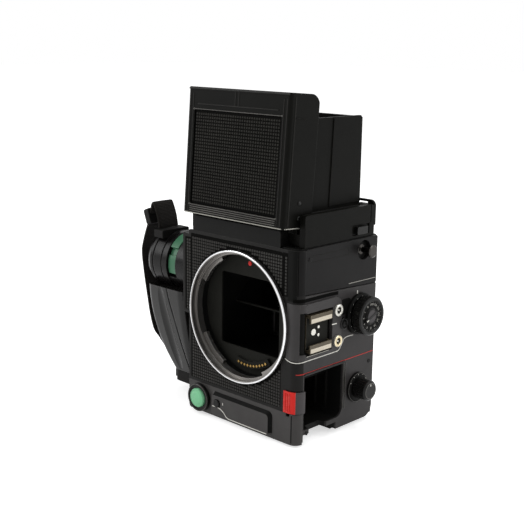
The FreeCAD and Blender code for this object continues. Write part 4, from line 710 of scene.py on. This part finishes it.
def lines(name, finish, place, half, high, *paths,
          low=LINE_SUNK, share=PAINT_SHARE, slot="cover_black", body="camera_body"):
    """A piece of raised lines on one surface, all of one width and height."""
    made = Build()
    for path in paths:
        made.run(path, place, half, high, low, share)
    made.piece(name, finish, slot, body)


def ring(name, finish, axis, centre, base, profile, slot="black_knob", body="camera_body", smooth=True):
    """A piece that is one ring."""
    made = Build()
    made.hoop(profile, axis, centre, base)
    made.piece(name, finish, slot, body, smooth)


# Front of the body

def front_grain():
    """Rows of small pads on the front inlay, left out under the lens ring."""
    made = Build()
    areas = [(LEATHER_LEFT, LEATHER_RIGHT, LEATHER_LOW, LEATHER_HIGH),
             (EAR_LEFT, LEATHER_LEFT, EAR_LOW, EAR_HIGH),
             (LEATHER_RIGHT, LEATHER_RIGHT + 2 * FRONT_PITCH, LEATHER_EAR_LOW, LEATHER_HIGH)]
    half = FRONT_PITCH * PAD_SHARE / 2
    top = FRONT_PITCH * PAD_TOP_SHARE / 2
    for left, right, low, high in areas:
        columns = int((right - left - PAD_MARGIN) / FRONT_PITCH)
        rows = int((high - low - PAD_MARGIN) / FRONT_PITCH)
        first_row = (low - LEATHER_LOW) / FRONT_PITCH
        for i in range(columns):
            u = right - PAD_MARGIN - half - i * FRONT_PITCH
            if u - half < left - 0.2:
                continue
            for k in range(rows):
                v = LEATHER_LOW + PAD_MARGIN + half + math.ceil(first_row + k) * FRONT_PITCH
                if v + half > high - PAD_MARGIN:
                    continue
                # The near corner decides, or the far one where the pad lies across an axis
                corner = half if min(abs(u), abs(v)) < half else -half
                if math.hypot(abs(u) + corner, abs(v) + corner) >= RING_RADIUS + RING_MARGIN:
                    made.pad(on_front, u, v, half, top, -PAD_SINK, PAD_RISE)
    made.piece("front_grain_pads", "pad_black", "grained_black")


def corner_skin(name, finish, *areas, slot="cover_black", smooth=False):
    """A piece of thin skins round the right front corner; an area is start, end, low, high and its height."""
    made = Build()
    for start, end, low, high, raised in areas:
        rings = []
        for i in range(SKIN_STEPS + 1):
            u = start + (end - start) * i / SKIN_STEPS
            top = raised(u) if callable(raised) else raised
            soft = min(SKIN_SOFT, top / 2)
            section = ((low, SKIN_SUNK), (high, SKIN_SUNK), (high, top - soft), (high - soft, top),
                       (low + soft, top), (low, top - soft))
            rings.append([on_corner(u, v, w) for v, w in section])
        made.loft(rings)
    made.piece(name, finish, slot, smooth=smooth)


def dense(path, step=0.6):
    """The same path with enough points to follow the corner's curve."""
    made = []
    for (u0, v0), (u1, v1) in zip(path, path[1:]):
        parts = max(1, math.ceil(math.hypot(u1 - u0, v1 - v0) / step))
        for i in range(parts):
            made.append((u0 + (u1 - u0) * i / parts, v0 + (v1 - v0) * i / parts))
    return made + [path[-1]]


def block_height(u):
    """The control block stands low on the front and reaches its full height on the side."""
    share = min(1.0, max(0.0, (u - BLOCK_START) / (CORNER_QUARTER - BLOCK_START)))
    full = CONTROL_FACE - SIDE_FACE
    return BLOCK_STEP + (full - BLOCK_STEP) * share * share * (3 - 2 * share)


def corner_details():
    """What runs round the right front corner: grained strip, plate edge, control block and their lines, with
    painted shadow in the plate's seam and under the plate, painted shade in the shoe pocket's mouth and a
    painted highlight on the pocket's lower edge.
    """
    ear_end = LEATHER_EAR_RIGHT - CORNER_X
    plate_start = CORNER_SEAM + SEAM_WIDTH
    pocket_start = POCKET_START - 0.1
    side = CORNER_QUARTER + 0.1
    line_end = CORNER_QUARTER + 0.3
    corner_skin("front_grain_ear", "grained_black",
                (LEATHER_RIGHT - CORNER_X, ear_end, LEATHER_EAR_LOW, LEATHER_HIGH, 0.03),
                slot="grained_black")
    corner_skin("front_corner_strip", "dark_trim_and_shade",
                (ear_end, CORNER_SEAM - 0.3, PLATE_LOW - 3.6, PLATE_HIGH, 0.1), smooth=True)
    # Painted shadow in the seam at the plate's front edge
    corner_skin("plate_seam_painted_shadow", "grained_black",
                (CORNER_SEAM, plate_start, PLATE_LOW - 0.2, PLATE_HIGH, 0.05))
    corner_skin("plate_return", "plate_black",
                (plate_start, side, PLATE_LOW, PLATE_HIGH, 0.1), smooth=True)
    corner_skin("control_block_return", "control_grey",
                (BLOCK_START, POCKET_START, BLOCK_LOW, BLOCK_HIGH, block_height),
                (pocket_start, side, POCKET_HIGH, BLOCK_HIGH, block_height),
                (pocket_start, side, BLOCK_LOW, POCKET_LOW, block_height), smooth=True)
    # Painted shade in the shoe pocket's mouth
    corner_skin("shoe_pocket_painted_shade", "dark_trim_and_shade",
                (pocket_start, CORNER_QUARTER, POCKET_LOW - 0.1, POCKET_HIGH + 0.1, 0.08))
    # Painted shadow in the gap between the side plate and the control block
    gap = [(1.0, GAP_Z), (CORNER_QUARTER, GAP_Z), (CORNER_QUARTER + 20.0, GAP_Z - 0.1),
           (CORNER_QUARTER + 28.0, GAP_Z - 0.4)]
    lines("plate_gap_painted_shadow", "grained_black", on_corner, 1.1, 0.12, dense(gap), low=SKIN_SUNK)
    white = [(-3.8, -16.1), (-2.2, -16.9), (0.0, WHITE_LINE_Z), (2.0, -17.5), (CORNER_SEAM, -17.5),
             (line_end, WHITE_LINE_Z)]
    lines("corner_white_line", "line_white", on_corner, 0.24, 0.12, dense(white))
    red = [(CORNER_SEAM, RED_LINE_Z), (line_end, RED_LINE_Z)]
    lines("corner_red_line", "line_red", on_corner, 0.24, 0.12, dense(red))
    seam = [(CHIN_SEAM_WAY, LATCH_LOW), (CHIN_SEAM_WAY, TONGUE_LOW)]
    lines("chin_seam", "dark_trim_and_shade", on_corner, 0.35, 0.04, dense(seam))
    # Painted highlight on the shoe pocket's lower edge
    edge = [(8.4, POCKET_LINE_Z), (27.5, POCKET_LINE_Z)]
    lines("pocket_edge_highlight", "highlight_line_grey", on_control, 0.16, 0.05, edge)


def chin_details():
    """Painted line round the tongue panel's lower edge, the pale index and the panel's bevel, dark as painted
    shade.
    """
    path = [(-19.6, -59.0), (-15.6, -58.8), (-12.4, -59.4), (-9.8, -60.8), (-7.6, -63.0), (-5.6, -63.65),
            (3.6, -63.7), (25.4, -63.65)]
    lines("chin_line", "line_white", on_tongue, 0.26, 0.1, path, low=-0.2)
    lines("chin_index_mark", "line_white", on_tongue, 0.3, 0.08, [(-10.6, -55.0), (-10.6, -56.4)], low=-0.2)
    # The bevel's dark colour is painted shade along the panel's top and right edges
    bevel = Build()
    right = TONGUE_RIGHT - TONGUE_RISE
    top = TONGUE_TOP - TONGUE_RISE
    left = TONGUE_LEFT + TONGUE_BEND
    foot = TONGUE_LOW + 2
    outer = [(left, TONGUE_TOP)]
    outer += arc((TONGUE_RIGHT - TONGUE_BEND, TONGUE_TOP - TONGUE_BEND), TONGUE_BEND, 90, 0, 6)
    outer += [(TONGUE_RIGHT, foot)]
    inner = [(left, top)]
    inner += arc((right - TONGUE_INNER_BEND, top - TONGUE_INNER_BEND), TONGUE_INNER_BEND, 90, 0, 6)
    inner += [(right, foot)]
    rings = []
    for (u0, v0), (u1, v1) in zip(outer, inner):
        size = math.hypot(u0 - u1, v0 - v1)
        out_u = (u0 - u1) / size * 0.1
        out_v = (v0 - v1) / size * 0.1
        rings.append([(u0, FRONT_FACE + 0.1, v0), (u1, TONGUE_FACE + 0.1, v1),
                      (u1 + out_u, TONGUE_FACE - 0.08, v1 + out_v),
                      (u0 + out_u, FRONT_FACE - 0.1, v0 + out_v)])
    bevel.loft(rings)
    bevel.piece("tongue_bevel_painted_shade", "dark_trim_and_shade", "cover_black")


def release_details():
    """Painted highlight on the release collar's rim, and the dished ring inside it."""
    # Painted highlight on the collar's rim
    ring("release_collar_highlight", "highlight_edge_grey", "y", RELEASE, 0.0,
         [(-0.1, 8.0), (-0.35, 8.25), (-0.1, 8.5), (0.4, 8.3)])
    ring("release_button_rim", "green", "y", RELEASE, 0.0,
         [(-0.75, 4.9), (-1.1, 5.05), (-1.0, 5.4), (-0.4, 5.8), (-0.2, 5.5)], "green", "release")


# Lid

def lid_grain():
    """Grained sheet of the lid's front with its rows of small pads."""
    edge = LID_HALF - LID_SIDE_BORDER
    band_low = LID_LENGTH - LID_BAND
    sheet = Build()
    outline = rounded_rectangle(-(edge - 0.15), edge - 0.15, LID_BORDER + 0.15, band_low - 0.15, 0.5)
    sheet.slab(outline, on_lid_panel, LID_SHEET - LID_INLAY - 0.1, 0.0, 0.1)
    sheet.piece("lid_grain_sheet", "grained_black", "grained_black", "lid")
    made = Build()
    low = LID_BORDER + 0.5
    high = band_low - 0.5
    half = LID_PITCH * PAD_SHARE / 2
    top = LID_PITCH * PAD_TOP_SHARE / 2
    columns = int(2 * (edge - 0.5) / LID_PITCH)
    rows = int((high - low) / LID_PITCH)
    start_u = -(columns - 1) / 2 * LID_PITCH
    start_v = (low + high) / 2 - (rows - 1) / 2 * LID_PITCH
    for i in range(columns):
        for k in range(rows):
            u = start_u + i * LID_PITCH
            v = start_v + k * LID_PITCH
            made.pad(on_lid_panel, u, v, half, top, -PAD_SINK, PAD_RISE + 0.1)
    made.piece("lid_grain_pads", "lid_pad_black", "grained_black", "lid")


def lid_trim():
    """Edge mouldings, beads, ridges, rivets and creases of the lid; the mouldings, ridges and beads carry
    painted highlights, and a painted highlight runs along the foot.
    """
    edge = LID_HALF - LID_SIDE_BORDER
    band_low = LID_LENGTH - LID_BAND
    # Painted highlights on the panel's edge mouldings
    bright = Build()
    bright.run([(-edge, band_low + 0.3), (edge, band_low + 0.3)], on_lid, 0.28, 0.3, -0.15, 0.5)
    for u in (-edge - 0.3, edge + 0.3):
        for v in (LID_BORDER - 0.3, band_low + 0.3):
            bright.pad(on_lid, u, v, 0.6, 0.3, -0.1, 0.5)
    bright.piece("lid_panel_edge_highlight", "highlight_edge_grey", "body_black", "lid")
    # Painted highlights on the lower ridges
    ridges = [[(-edge, v), (edge, v)] for v in LID_RIDGES]
    lines("lid_lower_ridges_highlight", "highlight_edge_grey", on_lid, 0.36, 0.4, *ridges,
          share=0.35, slot="body_black", body="lid")
    # The beads' lighter black is a painted highlight
    band = Build()
    band.run([(-edge + 2.5, band_low + 3.2), (edge - 2.5, band_low + 3.2)], on_lid, 0.4, 0.3, share=0.4)
    for u in (-1.3, 1.3):
        band.run([(u, band_low + 3.4), (u, LID_LENGTH - 1.4)], on_lid, 0.4, 0.3, share=0.4)
    top = LID_LENGTH - 1.0
    band.run([(-LID_HALF + 1.2, top), (LID_HALF - 1.2, top)], on_lid, 0.5, 0.5, share=0.5)
    for way in (-1, 1):
        for across in LID_BEADS:
            band.run([(way * across, 1.5), (way * across, LID_LENGTH - 3.4)], on_lid, 0.4, 0.3, share=0.4)
        band.run([(3.6, 1.5), (3.6, LID_LENGTH - 2.0)], on_skirt(way), 0.4, 0.35, share=0.4)
    band.piece("lid_beads", "bead_black_and_highlight", "body_black", "lid")
    foot = Build()
    rivets = Build()
    crease = Build()
    stretches = [(on_lid, -LID_HALF + 1.6, LID_HALF - 1.6)]
    for way in (-1, 1):
        skirt = on_skirt(way)
        stretches += [(on_lid_corner(way), 0.4, 3.0), (skirt, 2.2, LID_DEPTH - 0.8)]
        for place in LID_RIVETS:
            rivets.loft([[skirt(*polar(place, radius, 2 * math.pi * k / RIVET_SEGMENTS), w)
                          for k in range(RIVET_SEGMENTS)] for w, radius in RIVET_HEAD])
        crease.run([(4.6, 58.8), (9.0, 58.9), (12.4, 58.6)], skirt, 0.35, 0.3, share=0.4)
    # Painted highlight along the lid's foot
    for surface, start, end in stretches:
        foot.run([(start, LID_FOOT_HIGHLIGHT), (end, LID_FOOT_HIGHLIGHT)], surface, 0.34, 0.25, share=0.5)
    foot.piece("lid_foot_highlight", "highlight_line_grey", "body_black", "lid")
    rivets.piece("lid_rivets", "black_knob", "body_black", "lid", smooth=True)
    crease.piece("lid_skirt_creases", "hood_black", "body_black", "lid")


# Hood

def wall_lips():
    """Rear lips of the hood's side walls that close the corner towards the rear wall."""
    for way, body, pin_z in ((1, "hood_right", RIGHT_PIN_Z), (-1, "hood_left", LEFT_PIN_Z)):
        made = Build()
        rings = []
        for z, soft in ((pin_z + 2.6, 0.2), (pin_z + 2.9, 0.0), (WALL_TOP - 1.4, 0.0), (WALL_TOP - 1.0, 0.3)):
            section = ((LIP_INNER + soft, WALL_REAR - 0.2), (LIP_OUTER, WALL_REAR - 0.2),
                       (LIP_OUTER, LIP_REAR - soft - 0.2), (LIP_OUTER - 0.3, LIP_REAR - soft),
                       (LIP_INNER + soft, LIP_REAR - soft))
            rings.append([(way * x, y, z) for x, y in section])
        made.loft(rings)
        made.piece(body + "_lip", "hood_black", "body_black", body)


# Side of the body

def side_lines():
    """Painted lines on the side, a painted highlight along the upper plate's lower edge, and the fine frame
    on the bare upper plate.
    """
    curve = [(7.9, WHITE_LINE_Z), (WHITE_BEND[0], WHITE_LINE_Z)]
    curve += arc(WHITE_BEND, WHITE_BEND_RADIUS, 270, 318, 5)
    curve += [(42.0, -11.2), (43.6, -10.6), (45.4, -10.4), (50.5, -10.6)]
    dash = [(53.2, 13.6), (53.2, 15.6)]
    dot = [(7.9, -46.6), (8.4, -46.6)]
    white = Build()
    for path, half in ((curve, 0.26), (dash, 0.35), (dot, 0.3)):
        white.run(path, on_side, half, 0.1)
    white.piece("side_white_lines", "line_white", "cover_black")
    # Painted highlight along the upper plate's lower edge
    lines("side_edge_highlight", "highlight_line_grey", on_side, 0.16, 0.08, [(45.0, 20.9), (69.7, 20.6)])
    lines("side_red_line", "line_red", on_side, 0.24, 0.1, [(7.9, RED_LINE_Z), (69.9, RED_LINE_Z)])
    groove = Build()
    groove.run(rounded_rectangle(*PLATE_FRAME, 0.4, 3), on_side, 0.13, 0.05, closed=True)
    groove.piece("side_plate_frame", "dull_black", "cover_black")


def bay_rim():
    """Raised dark rim along the bay's rear and top edges, and two painted highlight lines on its rear
    stretch.
    """
    foot = BAY_FLOOR + 4.0
    path = [(BAY_FRONT + 0.2, BAY_TOP + 1.0), (BAY_REAR + 1.0, BAY_TOP + 1.0), (BAY_REAR + 1.0, foot)]
    lines("bay_rim", "black_knob", on_side, 0.8, 0.5, path, low=-0.2, share=0.6, slot="body_black")
    # Painted highlights along the rim's rear stretch
    edges = [[(u, BAY_TOP + 0.4), (u, foot)] for u in (BAY_REAR + 0.5, BAY_REAR + 2.1)]
    lines("bay_rim_highlights", "highlight_edge_grey", on_side, 0.15, 0.56, *edges, share=0.8, slot="body_black")


def shoe_details():
    """Dark floor inlay and bright rail faces of the shoe, and the rings and insulators of both sockets."""
    floor = Build()
    floor.slab(rounded_rectangle(*SHOE_INLAY, 0.2, 3), facing_side(SHOE_FLOOR), -0.05, 0.12, 0.05)
    floor.piece("shoe_floor_inlay", "dull_black", "shoe_metal")
    rails = Build()
    for low, high in SHOE_RAILS:
        outline = rounded_rectangle(RAIL_FRONT, RAIL_REAR, low + 0.25, (low + high) / 2 + 0.3, 0.3, 3)
        rails.slab(outline, facing_side(RAIL_FACE), -0.1, 0.15, 0.1)
    rails.piece("shoe_rail_faces", "shoe_bright", "shoe_metal")
    ring("lower_socket_ring", "brass", "x", LOWER_SOCKET, SOCKET_FACE, SOCKET_RING, "silver_socket")
    ring("upper_socket_ring", "silver_socket", "x", UPPER_SOCKET, SOCKET_FACE, SOCKET_RING, "silver_socket")
    plates = Build()
    for place in (UPPER_SOCKET, LOWER_SOCKET):
        plates.lathe(INSULATOR, "x", place, INSULATOR_FACE, 32)
    plates.piece("socket_insulators", "dull_black", "silver_socket", smooth=True)


def speed_numbers():
    """Plain raised numbers round the speed dial, readable from outside."""
    name = "speed_numbers"
    made = Build()
    for i, label in enumerate(SPEEDS):
        curve = bpy.data.curves.new(name + "_text", "FONT")
        fill(curve, body=label, size=NUMBER_SIZE, align_x="CENTER", align_y="CENTER", resolution_u=2,
             extrude=0.05, offset=0.02)
        letter = placed(name + "_text", curve)
        bpy.context.view_layer.update()
        mesh = bpy.data.meshes.new_from_object(letter.evaluated_get(bpy.context.evaluated_depsgraph_get()))
        turn = math.radians(90.0 - i * NUMBER_STEP) - math.pi / 2
        offset = len(made.points)
        for vertex in mesh.vertices:
            across = vertex.co.x
            up = vertex.co.y + NUMBER_RADIUS
            y = DIAL[0] + across * math.cos(turn) - up * math.sin(turn)
            z = DIAL[1] + across * math.sin(turn) + up * math.cos(turn)
            made.points.append((NUMBER_FACE + vertex.co.z, y, z))
        for face in mesh.polygons:
            made.faces.append(tuple(offset + k for k in face.vertices))
        bpy.data.meshes.remove(mesh)
        bpy.data.objects.remove(letter)
        bpy.data.curves.remove(curve)
    made.piece(name, "number_grey", "black_knob", "speed_knob")


def speed_details():
    """Numbers, ticks, hub and bar of the speed dial."""
    knob = {"slot": "black_knob", "body": "speed_knob"}
    speed_numbers()
    ring("speed_number_ring", "dark_trim_and_shade", "x", DIAL, NUMBER_FACE,
         [(-0.05, 4.9), (0.02, 4.95), (0.02, 8.6), (-0.05, 8.7)], smooth=False, **knob)
    ticks = []
    for i in range(TICKS):
        angle = math.radians((i + 0.5) * 360 / TICKS)
        ticks.append([polar(DIAL, TICK_START, angle), polar(DIAL, TICK_END, angle)])
    lines("speed_ticks", "number_grey", facing_side(NUMBER_FACE), 0.16, 0.06, *ticks, **knob)
    ring("speed_hub", "black_knob", "x", DIAL, KNOB_TOP,
         [(-0.1, 3.9), (0.25, 4.05), (0.25, 4.35), (-0.1, 4.5)], **knob)
    disc = Build()
    disc.lathe([(-0.1, 3.8), (0.05, 3.7), (0.06, 0.2)], "x", DIAL, KNOB_TOP, 40)
    disc.piece("speed_disc", "grey", smooth=True, **knob)
    reach = [polar(DIAL, radius, BAR_SLANT) for radius in BAR_REACH]
    lines("speed_bar", "black_knob", facing_side(KNOB_TOP), 0.9, 0.5, reach, share=0.7, **knob)
    u, v = reach[0]
    lines("speed_index", "line_white", facing_side(KNOB_TOP + 0.5), 0.4, 0.06,
          [(u + 0.4, v + 0.2), (u + 1.9, v + 0.85)], **knob)


def collar_marks(name, centre, radius, face, angles, base, top, low, high):
    """Small pale squares on a dial's collar, at angles in degrees."""
    made = Build()
    for angle in angles:
        u, v = polar(centre, radius, math.radians(angle))
        made.pad(facing_side(face), u, v, base, top, low, high)
    made.piece(name, "line_white", "black_knob")


def control_details():
    """Flange, apron and mark of the lock lever, marks of both collars, and pointer and rings of the mode
    dial; the rings are painted highlights on its collar and face.
    """
    boss = Build()
    boss.lathe(LEVER_FLANGE, "x", LEVER, CONTROL_FACE)
    boss.piece("lever_boss", "black_knob", "black_knob", LEVER_BODY, smooth=True)
    apron = Build()
    apron.slab(rounded_rectangle(*LEVER_APRON, 2.6), on_side, -0.1, 0.3, 0.15)
    apron.piece("lever_apron", "dark_trim_and_shade", "black_knob")
    lines("lever_mark", "line_white", on_control, 0.3, 0.06, [(29.6, 0.1), (33.6, 0.0)])
    collar_marks("speed_collar_marks", DIAL, SPEED_MARK_RADIUS, DIAL_COLLAR_TOP - 0.02, SPEED_MARK_ANGLES,
                 0.16, 0.12, -0.1, 0.06)
    collar_marks("mode_collar_marks", MODE, MODE_MARK_RADIUS, MODE_COLLAR_TOP - 0.42, MODE_MARK_ANGLES,
                 0.3, 0.26, -0.3, 0.12)
    lines("mode_pointer", "line_white", facing_side(MODE_FACE), 0.3, 0.06,
          [(MODE[0], MODE[1] + 2.9), (MODE[0], MODE[1] + 4.2)], slot="black_knob", body="mode_knob")
    # Painted highlights as rings on the mode dial's collar and face
    ring("mode_collar_highlight", "highlight_edge_grey", "x", MODE, MODE_COLLAR_TOP,
         [(-0.45, 8.5), (-0.3, 8.55), (-0.3, 8.75), (-0.45, 8.8)])
    ring("mode_face_highlight", "highlight_edge_grey", "x", MODE, MODE_FACE,
         [(-0.1, 4.3), (0.1, 4.4), (0.1, 4.7), (-0.1, 4.8)], body="mode_knob")


def screw(made, axis, place, surface, way):
    """Low flat screw head with a chamfered edge; way is the direction it faces along the axis."""
    levels = ((-0.1, 1.0), (0.12, 1.0), (0.2, 0.9), (0.2, 0.2))
    made.lathe([(way * height, SCREW_RADIUS * share) for height, share in levels], axis, place, surface, 24)


def screws():
    """Screw heads on the finder's rear, on the case's rear and on its underside."""
    rim = Build()
    for place in FINDER_SCREWS:
        screw(rim, "y", place, FINDER_REAR, 1)
    rim.piece("finder_screws", "black_knob", "steel", "finder", smooth=True)
    dark = Build()
    for place in REAR_SCREWS:
        screw(dark, "y", place, REAR_FACE, 1)
    for place in BASE_SCREWS:
        screw(dark, "z", place, BASE_BOTTOM, -1)
    dark.piece("case_screws", "black_knob", "steel", smooth=True)


# Grip

def strap_path():
    """Stations of the hand strap's middle line as (x, y, z)."""
    top = GRIP[1] + DRUM_RADIUS
    foot = HANDLE_FOOT_Z - HANDLE_CAP
    rows = [(-7.0, -6.0, -0.016), (-7.0, -6.3, -0.041), (-6.2, -6.6, -0.093), (-4.4, -7.0, -0.150),
            (-2.6, -7.0, -0.177), (-1.2, -7.0, -0.165), (-0.4, -7.0, -0.133), (1.2, -7.0, -0.086),
            (2.8, -7.0, -0.031), (5.1, -7.0, 0.026), (7.1, -7.0, 0.083), (8.6, -7.0, 0.136),
            (8.6, -7.0, 0.193), (7.8, -7.0, 0.247), (6.0, -7.0, 0.353), (3.8, -7.0, 0.458),
            (1.5, -7.0, 0.564), (-1.6, -6.5, 0.668), (-3.4, -3.5, 0.730), (-6.3, -1.0, 0.792),
            (-9.0, 1.5, 0.854), (-12.6, 4.0, 0.914)]
    stations = [(DRUM_END - out, GRIP[0] + shift, top + (foot - top) * share) for out, shift, share in rows]
    return stations + [(STRAP_FOOT_X, STRAP_FOOT_Y, foot + 7.1), (STRAP_FOOT_X, STRAP_FOOT_Y, foot + 1.3)]


def smooth_path(points, steps):
    """A smooth curve through points."""
    made = []
    for i in range(len(points) - 1):
        p0 = Vector(points[max(i - 1, 0)])
        p1 = Vector(points[i])
        p2 = Vector(points[i + 1])
        p3 = Vector(points[min(i + 2, len(points) - 1)])
        for k in range(steps):
            t = k / steps
            made.append(0.5 * ((2 * p1) + (p2 - p0) * t + (2 * p0 - 5 * p1 + 4 * p2 - p3) * t * t
                               + (3 * p1 - p0 - 3 * p2 + p3) * t * t * t))
    made.append(Vector(points[-1]))
    return made


def strap_frames(steps):
    """Middle points of the strap with the direction of its thickness."""
    line = smooth_path(strap_path(), steps)
    frames = []
    for i, here in enumerate(line):
        along = line[min(i + 1, len(line) - 1)] - line[max(i - 1, 0)]
        along.y = 0
        along.normalize()
        frames.append((here, Vector((-along.z, 0, along.x))))
    return frames


def crown(y):
    """Half the strap's thickness at a distance from its middle line."""
    return STRAP_HALF_THICK * (1 - STRAP_CROWN * (y / STRAP_HALF_WIDTH) ** 2)


def strap():
    """Webbing hand strap with rolled edges, crowned a little across, and its two rows of stitches."""
    made = Build()
    section = []
    for k in range(9):
        y = -STRAP_HALF_WIDTH + 0.9 + k * (2 * STRAP_HALF_WIDTH - 1.8) / 8
        section.append((y, crown(y)))
    roll = STRAP_HALF_WIDTH - 0.35
    outline = section + [(roll, STRAP_EDGE), (STRAP_HALF_WIDTH, 0.0), (roll, -STRAP_EDGE)]
    outline += [(y, -t) for y, t in reversed(section)]
    outline += [(-roll, -STRAP_EDGE), (-STRAP_HALF_WIDTH, 0.0), (-roll, STRAP_EDGE)]
    rings = []
    for here, out in strap_frames(STRAP_STEPS):
        rings.append([tuple(here + Vector((0, y, 0)) + out * t) for y, t in outline])
    made.loft(rings)
    piece = made.piece("hand_strap_webbing", "strap_black", "strap_black", "grip", smooth=True)
    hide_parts("hand_strap")
    stitches = Build()
    frames = strap_frames(STITCH_STEPS)
    for lane in (-STITCH_LANE, STITCH_LANE):
        for i in range(2 * STITCH_LENGTH, len(frames) - 2 * STITCH_LENGTH, STITCH_SPACING):
            for way in (-1, 1):
                rings = []
                for here, out in (frames[i], frames[i + STITCH_LENGTH]):
                    rings.append([tuple(here + Vector((0, lane + a, 0)) + out * way * (crown(lane) + b))
                                  for a, b in STITCH])
                stitches.loft(rings)
    stitches.piece("hand_strap_stitches", "thread_black", "strap_black", "grip")


# Stage

def set_camera():
    a, e, r = CAMERA_AZIMUTH, CAMERA_ELEVATION, CAMERA_ROLL
    back = Vector((math.sin(a) * math.cos(e), -math.cos(a) * math.cos(e), math.sin(e)))
    right = Vector((math.cos(a), math.sin(a), 0))
    up = back.cross(right)
    turned_right = right * math.cos(r) + up * math.sin(r)
    turned_up = up * math.cos(r) - right * math.sin(r)
    place = -(turned_right * CAMERA_OFFSET.x - turned_up * CAMERA_OFFSET.y - back * CAMERA_OFFSET.z)
    data = bpy.data.cameras.new("photo_camera")
    fill(data, sensor_width=SENSOR, lens=FOCAL_PIXELS / PHOTO_SIZE * SENSOR, clip_start=0.01, clip_end=50.0)
    camera = placed("photo_camera", data)
    matrix = Matrix((turned_right, turned_up, back)).transposed().to_4x4()
    matrix.translation = place * MM
    camera.matrix_world = matrix
    bpy.context.scene.camera = camera


def pale_rays(tree):
    """One for rays from the camera, from gloss and through glass."""
    path = node(tree, "ShaderNodeLightPath")
    total = path.outputs["Is Camera Ray"]
    for name in ("Is Glossy Ray", "Is Transmission Ray"):
        total = maths(tree, "ADD", total, path.outputs[name], use_clamp=True)
    return total


def set_world():
    world = bpy.data.worlds.new("studio")
    bpy.context.scene.world = world
    world.use_nodes = True
    tree = world.node_tree
    background = tree.nodes["Background"]
    fill(background, Color=WHITE)
    strength = ranged(tree, pale_rays(tree), BOUNCED_LIGHT, 1.0, 0.0, 1.0)
    tree.links.new(strength, background.inputs["Strength"])


def set_floor():
    mesh = bpy.data.meshes.new("floor")
    size = FLOOR_HALF
    corners = ((-size, -size), (size, -size), (size, size), (-size, size))
    mesh.from_pydata([(x, y, FLOOR * MM) for x, y in corners], [], [(0, 1, 2, 3)])
    material, tree, shader = new_material("floor")
    fill(shader, Base_Color=FLOOR_GREY, Roughness=0.9, Specular_IOR_Level=0.1, Emission_Color=WHITE)
    glow = ranged(tree, pale_rays(tree), 0.0, FLOOR_GLOW, 0.0, 1.0)
    tree.links.new(glow, shader.inputs["Emission Strength"])
    mesh.materials.append(material)
    floor = placed("floor", mesh)


def area_lamp(name, place, size, power):
    """A square lamp that faces the middle of the stage."""
    data = bpy.data.lights.new(name, "AREA")
    fill(data, shape="RECTANGLE", size=size, size_y=size, energy=power)
    lamp = placed(name, data)
    lamp.location = place
    way = Vector(STAGE_MIDDLE) - Vector(place)
    lamp.rotation_euler = way.to_track_quat("-Z", "Y").to_euler()


def set_lamps():
    area_lamp("left_softbox", (-1.1, -1.0, 0.75), 0.9, 11.0)
    area_lamp("right_softbox", (1.25, 0.75, 0.7), 0.8, 7.6)
    area_lamp("top_softbox", (0.1, 0.3, 1.4), 0.8, 8.0)


bpy.context.scene.view_settings.view_transform = "Standard"
set_camera()
set_world()
set_floor()
set_lamps()
dress_nodes()
front_grain()
corner_details()
chin_details()
release_details()
lid_grain()
lid_trim()
wall_lips()
side_lines()
bay_rim()
shoe_details()
speed_details()
control_details()
screws()
strap()
